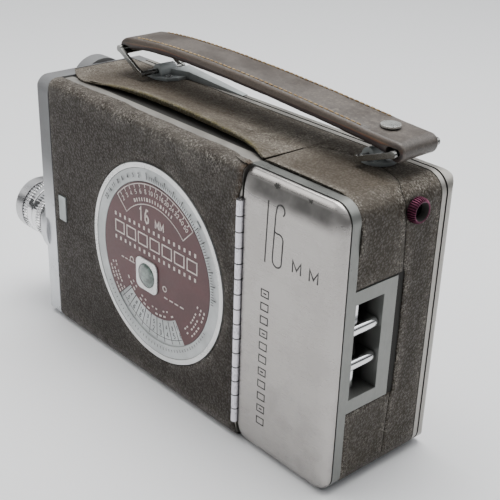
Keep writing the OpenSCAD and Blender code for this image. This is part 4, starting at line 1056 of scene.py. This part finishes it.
def stitches():
    rng = random.Random(7)
    verts, faces = [], []
    length = BAR_R[0] - BAR_F[0]
    for y in (S_Y - S_W / 2 + 1.75, S_Y + S_W / 2 - 1.75):
        x = -66.0
        while x < 66.5:
            t0, t1 = (x - BAR_F[0]) / length, (x + 2.15 - BAR_F[0]) / length
            (p0, n0), (p1, n1) = strap_frame(t0), strap_frame(t1)
            lift = S_T / 2 + 0.02 + 0.05 * rng.random()
            a, b = p0 + n0 * lift, p1 + n1 * lift
            off = 0.10 * (rng.random() - 0.5)
            capsule(verts, faces, (a[0], y + off, a[1]), (b[0], y - off, b[1]), 0.40)
            x += 2.75
    return verts, faces


make("strap_stitching", *stitches(), thread_paint(), "strap", "leather_brown", smooth=60)


# ---- printed and engraved marks
DIGITS = {
    "0": [[(0.5, 1), (0.12, 0.86), (0, 0.5), (0.12, 0.14), (0.5, 0), (0.88, 0.14), (1, 0.5), (0.88, 0.86),
           (0.5, 1)]],
    "1": [[(0.25, 0.8), (0.55, 1), (0.55, 0)]],
    "2": [[(0.05, 0.8), (0.3, 1), (0.75, 1), (0.95, 0.75), (0.85, 0.5), (0.05, 0), (1, 0)]],
    "3": [[(0.05, 0.9), (0.4, 1), (0.85, 0.92), (0.9, 0.65), (0.5, 0.53), (0.95, 0.4), (0.9, 0.1), (0.4, 0),
           (0, 0.1)]],
    "4": [[(0.75, 0), (0.75, 1), (0, 0.3), (1, 0.3)]],
    "5": [[(0.95, 1), (0.15, 1), (0.1, 0.55), (0.6, 0.62), (1, 0.35), (0.75, 0.02), (0.05, 0.05)]],
    "6": [[(0.85, 0.95), (0.4, 1), (0.05, 0.6), (0.05, 0.2), (0.4, 0), (0.85, 0.1), (0.9, 0.4), (0.5, 0.58),
           (0.07, 0.42)]],
    "8": [[(0.5, 0.54), (0.12, 0.72), (0.25, 0.97), (0.75, 0.97), (0.88, 0.72), (0.5, 0.54), (0.05, 0.28),
           (0.22, 0.02), (0.78, 0.02), (0.95, 0.28), (0.5, 0.54)]],
    "M": [[(0, 0), (0, 1), (0.5, 0.25), (1, 1), (1, 0)]],
}


class Marks:
    """Strokes of ink lying on a plane y = const, collected in one mesh; points are (x, z)."""

    def __init__(self, y, thick=0.05):
        self.y, self.thick = y, thick
        self.verts, self.faces = [], []

    def quad(self, pts):
        n, base = len(pts), len(self.verts)
        area = sum(pts[i][0] * pts[(i + 1) % n][1] - pts[(i + 1) % n][0] * pts[i][1] for i in range(n))
        if area < 0:
            pts = pts[::-1]
        self.verts += [(x, y, z) for y in (self.y, self.y - self.thick) for x, z in pts]
        self.faces.append(tuple(range(base + n, base + 2 * n)))
        self.faces += [(base + i, base + (i + 1) % n, base + n + (i + 1) % n, base + n + i) for i in range(n)]
        self.faces.append(tuple(range(base + n - 1, base - 1, -1)))

    def line(self, pts, width):
        """Stroke along a polyline with mitred joins."""
        pts = [np.array(p, float) for p in pts]
        left, right = [], []
        for i, p in enumerate(pts):
            d0 = p - pts[i - 1] if i else pts[1] - p
            d1 = pts[i + 1] - p if i < len(pts) - 1 else d0
            d0, d1 = d0 / (np.linalg.norm(d0) + 1e-9), d1 / (np.linalg.norm(d1) + 1e-9)
            m = d0 + d1
            m = m / (np.linalg.norm(m) + 1e-9)
            n = np.array((-m[1], m[0]))
            k = width / 2 / max(0.45, float(n @ np.array((-d0[1], d0[0]))))
            left.append(p + n * k)
            right.append(p - n * k)
        for i in range(len(pts) - 1):
            self.quad([tuple(left[i]), tuple(left[i + 1]), tuple(right[i + 1]), tuple(right[i])])

    def arc(self, center, r, a0, a1, width):
        n = max(2, int(abs(a1 - a0) / 3))
        self.line([polar(center, r, a0 + (a1 - a0) * i / n) for i in range(n + 1)], width)

    def ray(self, center, r0, r1, a, width):
        self.line([polar(center, r0, a), polar(center, r1, a)], width)

    def text(self, word, at, height, width, angle=0.0, wide=0.55):
        """Digits centred on a point; angle turns them, in degrees."""
        ca, sa = math.cos(math.radians(angle)), math.sin(math.radians(angle))
        step = height * (wide + 0.28)
        start = -step * (len(word) - 1) / 2 - height * wide / 2
        for k, char in enumerate(word):
            for stroke in DIGITS[char]:
                pts = [(start + k * step + px * height * wide, (pz - 0.5) * height) for px, pz in stroke]
                self.line([(at[0] + u * ca - v * sa, at[1] + u * sa + v * ca) for u, v in pts], width)

    def build(self, name, mat, body, slot):
        make(name, self.verts, self.faces, mat, body, slot)


def ink(name, color, rough=0.45, fade=0.35):
    p = Paint(name)
    rub = p.span(p.noise(0.7, 5, 0.75), 0.50, 0.72)
    return p.done(p.mix(p.mul(rub, fade), color, [0.5 * c + 0.08 for c in color]),
                  p.span(p.noise(1.5, 3), 0.3, 0.7, rough * 0.85, rough * 1.15),
                  Normal=p.bump(p.noise(3.0, 3, 0.7), 0.25, 0.03))


PALE_INK = ink("pale_ink", (0.74, 0.66, 0.62))
DARK_INK = ink("dark_ink", (0.035, 0.033, 0.035))
FILL = ink("engraved_fill", (0.022, 0.020, 0.020), 0.6, 0.5)

FACE_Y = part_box("dial_face")[0][1] / MM
DISC_Y = Y_SIDE + 0.5
face_marks = Marks(FACE_Y)
# framed scale from about ten to two o'clock
box_r0, box_r1 = 26.4, 35.2
face_marks.arc(DIAL, box_r1, 137, 44, 0.42)
face_marks.arc(DIAL, box_r0, 137, 44, 0.36)
for a in (137, 44):
    face_marks.ray(DIAL, box_r0 - 0.2, box_r1 + 0.2, a, 0.4)
for i, word in enumerate("2 3 4 5 6 8 10 12 16 20 24 32 40 50".split()):
    a = 132.5 - i * 6.4
    face_marks.ray(DIAL, box_r1 - 1.7, box_r1, a, 0.42)
    face_marks.text(word, polar(DIAL, 31.9, a), 1.9, 0.30, a - 90)
for i in range(15):
    a = 118 - i * 3.7
    face_marks.ray(DIAL, 27.7, 29.3, a, 0.62 if i % 5 else 1.1)
# gauge of the film, and a plain strip of perforations in place of a name
face_marks.text("16", (DIAL[0] - 7.2, DIAL[1] + 20.4), 6.0, 0.85, wide=0.42)
face_marks.text("MM", (DIAL[0] + 3.4, DIAL[1] + 19.0), 3.4, 0.60, wide=0.66)
for i in range(17):
    x = DIAL[0] - 27.6 + i * 3.4
    for z, w in ((14.6, 1.15), (3.6, 1.15)):
        if math.hypot(x - DIAL[0], z) < 31.5:
            face_marks.quad(rect(x - w / 2, DIAL[1] + z - 0.85, x + w / 2, DIAL[1] + z + 0.85))
for i in range(7):
    x0 = DIAL[0] - 28.6 + i * 8.25
    face_marks.line([(x0 + 0.8, DIAL[1] + 6.4), (x0 + 7.0, DIAL[1] + 6.4), (x0 + 7.0, DIAL[1] + 11.6),
                     (x0 + 0.8, DIAL[1] + 11.6), (x0 + 0.8, DIAL[1] + 6.1)], 0.62)
# rows of short dashes for the hints, and numbers round the light window
for a0, a1, rows in ((196, 222, (34.2, 32.0, 29.8)), (-48, -14, (34.0, 31.8, 29.6))):
    for k, r in enumerate(rows):
        n = 9
        for i in range(n):
            a = a0 + (a1 - a0) * (i + 0.5) / n
            if (i * 7 + k * 3) % 5:
                face_marks.arc(DIAL, r, a - 1.0, a + 1.0, 0.75)
for i in range(13):
    a = 214 + i * 7.2
    if i % 4 != 3:
        face_marks.arc(DIAL, 22.9, a - 2.0, a + 2.0, 0.8)
    if i % 3:
        face_marks.arc(DIAL, 20.6, a - 1.5, a + 1.5, 0.7)
for x, z in ((-16.5, -3.5), (6.6, -8.6)):
    face_marks.arc((DIAL[0] + x, DIAL[1] + z), 1.15, 0, 354, 0.5)
for i in range(4):
    for x, z, long, width in ((6.2 + i * 3.6, -12.6, 2.4, 0.6), (-24.0 + i * 2.6, -4.6, 1.7, 0.5)):
        face_marks.line([(DIAL[0] + x, DIAL[1] + z), (DIAL[0] + x + long, DIAL[1] + z)], width)
face_marks.build("dial_face_marks", PALE_INK, "body", "white_disc")

RING_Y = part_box("dial_disc")[0][1] / MM
disc_marks = Marks(RING_Y)
for i in range(58):
    a = 96 - i * 1.75
    disc_marks.ray(DIAL, 37.6, 40.6 if i % 5 == 0 else 39.2, a, 0.30 if i % 5 else 0.42)
for i, word in enumerate("2 3 4 6 8 11 16 22".split()):
    disc_marks.text(word, polar(DIAL, 38.9, 104 + i * 6.2), 1.7, 0.30, 104 + i * 6.2 - 90)
for i in range(40):
    a = -28 - i * 3.1
    disc_marks.ray(DIAL, 37.4, 38.6, a, 0.26)
disc_marks.build("dial_ring_marks", DARK_INK, "exposure_disc", "black_paint")

window_marks = Marks(DISC_Y)
for i in range(40):
    a = 9 * i
    window_marks.ray(DIAL, 25.2, 35.4, a, 0.34)
    window_marks.text(str((1, 2, 3, 4, 5, 6, 8)[i % 7]), polar(DIAL, 31.6, a + 4.5), 2.2, 0.30, a + 94.5)
    window_marks.text(str((2, 4, 8, 16, 3, 5)[i % 6]), polar(DIAL, 28.2, a + 4.5), 1.8, 0.26, a + 94.5)
window_marks.arc(DIAL, 33.6, 0, 357, 0.22)
window_marks.build("dial_window_marks", DARK_INK, "exposure_disc", "black_paint")

# film gauge on the door panel: two tall thin figures, two letters and a plain row of frames
panel_marks = Marks(Y_SIDE + 0.02, thick=0.06)
panel_marks.line([(59.2, 111.2), (58.4, 86.6)], 0.60)
panel_marks.line([polar((65.6, 109.2), 2.1, a) for a in range(-50, 151, 10)]
                 + [(63.2, 107.0), (62.3, 89.4)]
                 + [polar((64.75, 89.0), 2.35, a) for a in range(190, 361, 10)]
                 + [(67.4, 97.0)] + [polar((65.2, 97.8), 2.25, a) for a in range(10, 111, 10)]
                 + [(63.0, 100.3)], 0.60)
for x, z in ((75.0, 90.4), (83.6, 90.2)):
    panel_marks.text("M", (x, z), 4.5, 0.62, wide=0.92)
for i in range(11):
    z = 15.0 + i * 5.7
    panel_marks.line([(57.2, z), (61.2, z + 0.1), (61.2, z + 3.1), (57.2, z + 3.0), (57.2, z - 0.2)], 0.5)
    if i % 3 == 1:
        panel_marks.line([(58.4, z + 1.5), (60.0, z + 1.55)], 0.6)
panel_marks.build("panel_marks", FILL, "door", "black_paint")

# ---- small parts

def dome_paint():
    """Domed window: dark green, paler in patches."""
    p = Paint("dome_glass")
    depth = p.noise(0.22, 3, 0.6)
    tone = p.mix(p.span(depth, 0.35, 0.65), (0.045, 0.070, 0.058), (0.20, 0.26, 0.23))
    return p.done(tone, p.span(p.noise(1.2, 4), 0.3, 0.7, 0.05, 0.14),
                  Coat_Weight=0.8, Normal=p.bump(depth, 0.1, 0.3))


dome = [(Y_SIDE - 0.55 - 1.15 * math.cos(math.radians(a)), 5.5 * math.sin(math.radians(a)), 0)
        for a in (90, 75, 60, 45, 30, 15, 2)]
lathe("dial_window_dome", "y", HUB_AT, dome + [(Y_SIDE - 0.5, 0.15, 0), (Y_SIDE - 0.5, 5.5, 0)],
      0, dome_paint(), "body", "clear_glass")


# ---- floor, light and camera
def floor_paint():
    p = Paint("floor_sweep")
    cloud = p.mix(p.span(p.noise(0.004, 2), 0.3, 0.7), (0.905, 0.91, 0.925), (0.935, 0.94, 0.955))
    # Painted shade: the floor is painted darker away from the camera, standing in for light falling off across
    # the sweep.
    away = p.vec("DOT_PRODUCT", p.pos, (-0.74, 0.67, 0))
    return p.done(p.mix(p.span(away, 0.0, 700.0), cloud, (0.80, 0.81, 0.825)), 0.75)


FLOOR = 6000.0                     # half its side
floor = new_object("floor", [(x, z, 0) for x, z in rect(-FLOOR, -FLOOR, FLOOR, FLOOR)], [(0, 1, 2, 3)])
floor.data.materials.append(floor_paint())
floor.location.z = -0.0002

# Brightness of the surroundings from straight below (0) to straight above (1), as the metal reflects it
BANDS = ((0.0, 0.62), (0.47, 0.52), (0.53, 0.10), (0.66, 0.13), (0.74, 0.85), (1.0, 1.10))


def studio():
    """Banded surroundings for reflections, and a plain even light for matt surfaces."""
    world = bpy.data.worlds.new("studio")
    bpy.context.scene.world = world
    world.use_nodes = True
    w = Nodes(world.node_tree)
    split = w.add("ShaderNodeSeparateXYZ")
    w.put(split.inputs[0], w.add("ShaderNodeTexCoord").outputs["Generated"])
    ramp = w.add("ShaderNodeValToRGB")
    w.put(ramp.inputs[0], w.span(split.outputs["Z"], -1.0, 1.0, smooth=False))
    stops = ramp.color_ramp.elements
    while len(stops) < len(BANDS):
        stops.new(0.5)
    for stop, (at, v) in zip(stops, BANDS):
        stop.position, stop.color = at, (v * 0.985, v, v * 1.02, 1)
    back = w.add("ShaderNodeBackground")
    matt = w.add("ShaderNodeLightPath").outputs["Is Diffuse Ray"]
    w.put(back.inputs["Color"], w.mix(matt, ramp.outputs[0], (0.30, 0.31, 0.32)))
    w.put(back.inputs["Strength"], 0.9)
    w.put(w.add("ShaderNodeOutputWorld").inputs[0], back.outputs[0])


studio()


def area(name, at, target, size, power, tint):
    data = bpy.data.lights.new(name, "AREA")
    data.shape, data.energy, data.color = "RECTANGLE", power, tint
    data.size, data.size_y = size
    lamp = bpy.data.objects.new(name, data)
    bpy.context.scene.collection.objects.link(lamp)
    lamp.location = at
    lamp.rotation_euler = (Vector(target) - Vector(at)).to_track_quat("-Z", "Y").to_euler()


area("top", (-0.15, 0.15, 1.25), (0, 0, 0.05), (1.2, 1.0), 25.0, (1.0, 0.995, 0.98))
area("front", (-0.75, -0.75, 0.75), (0, 0, 0.05), (0.7, 0.6), 3.0, (1.0, 0.99, 0.97))
area("back", (0.35, 1.1, 0.8), (0, 0, 0.1), (0.9, 0.6), 5.0, (0.98, 0.99, 1.0))

CAMERA_AT = (0.3106, -0.2670, 0.2567)
YAW, PITCH, ROLL = (math.radians(v) for v in (47.5, 27.8, 1.94))
cam_data = bpy.data.cameras.new("camera")
cam_data.lens, cam_data.sensor_width = 75.8, 36.0
cam_data.shift_x, cam_data.shift_y = -0.0016, 0.083
cam_data.clip_start = 0.01
cam = bpy.data.objects.new("camera", cam_data)
bpy.context.scene.collection.objects.link(cam)
ahead = Vector((-math.sin(YAW) * math.cos(PITCH), math.cos(YAW) * math.cos(PITCH), -math.sin(PITCH)))
right = Vector((math.cos(YAW), math.sin(YAW), 0))
up = right.cross(ahead)
right, up = math.cos(ROLL) * right + math.sin(ROLL) * up, -math.sin(ROLL) * right + math.cos(ROLL) * up
turn = Matrix((right, up, -ahead)).transposed().to_4x4()
cam.matrix_world = Matrix.Translation(CAMERA_AT) @ turn
bpy.context.scene.camera = cam
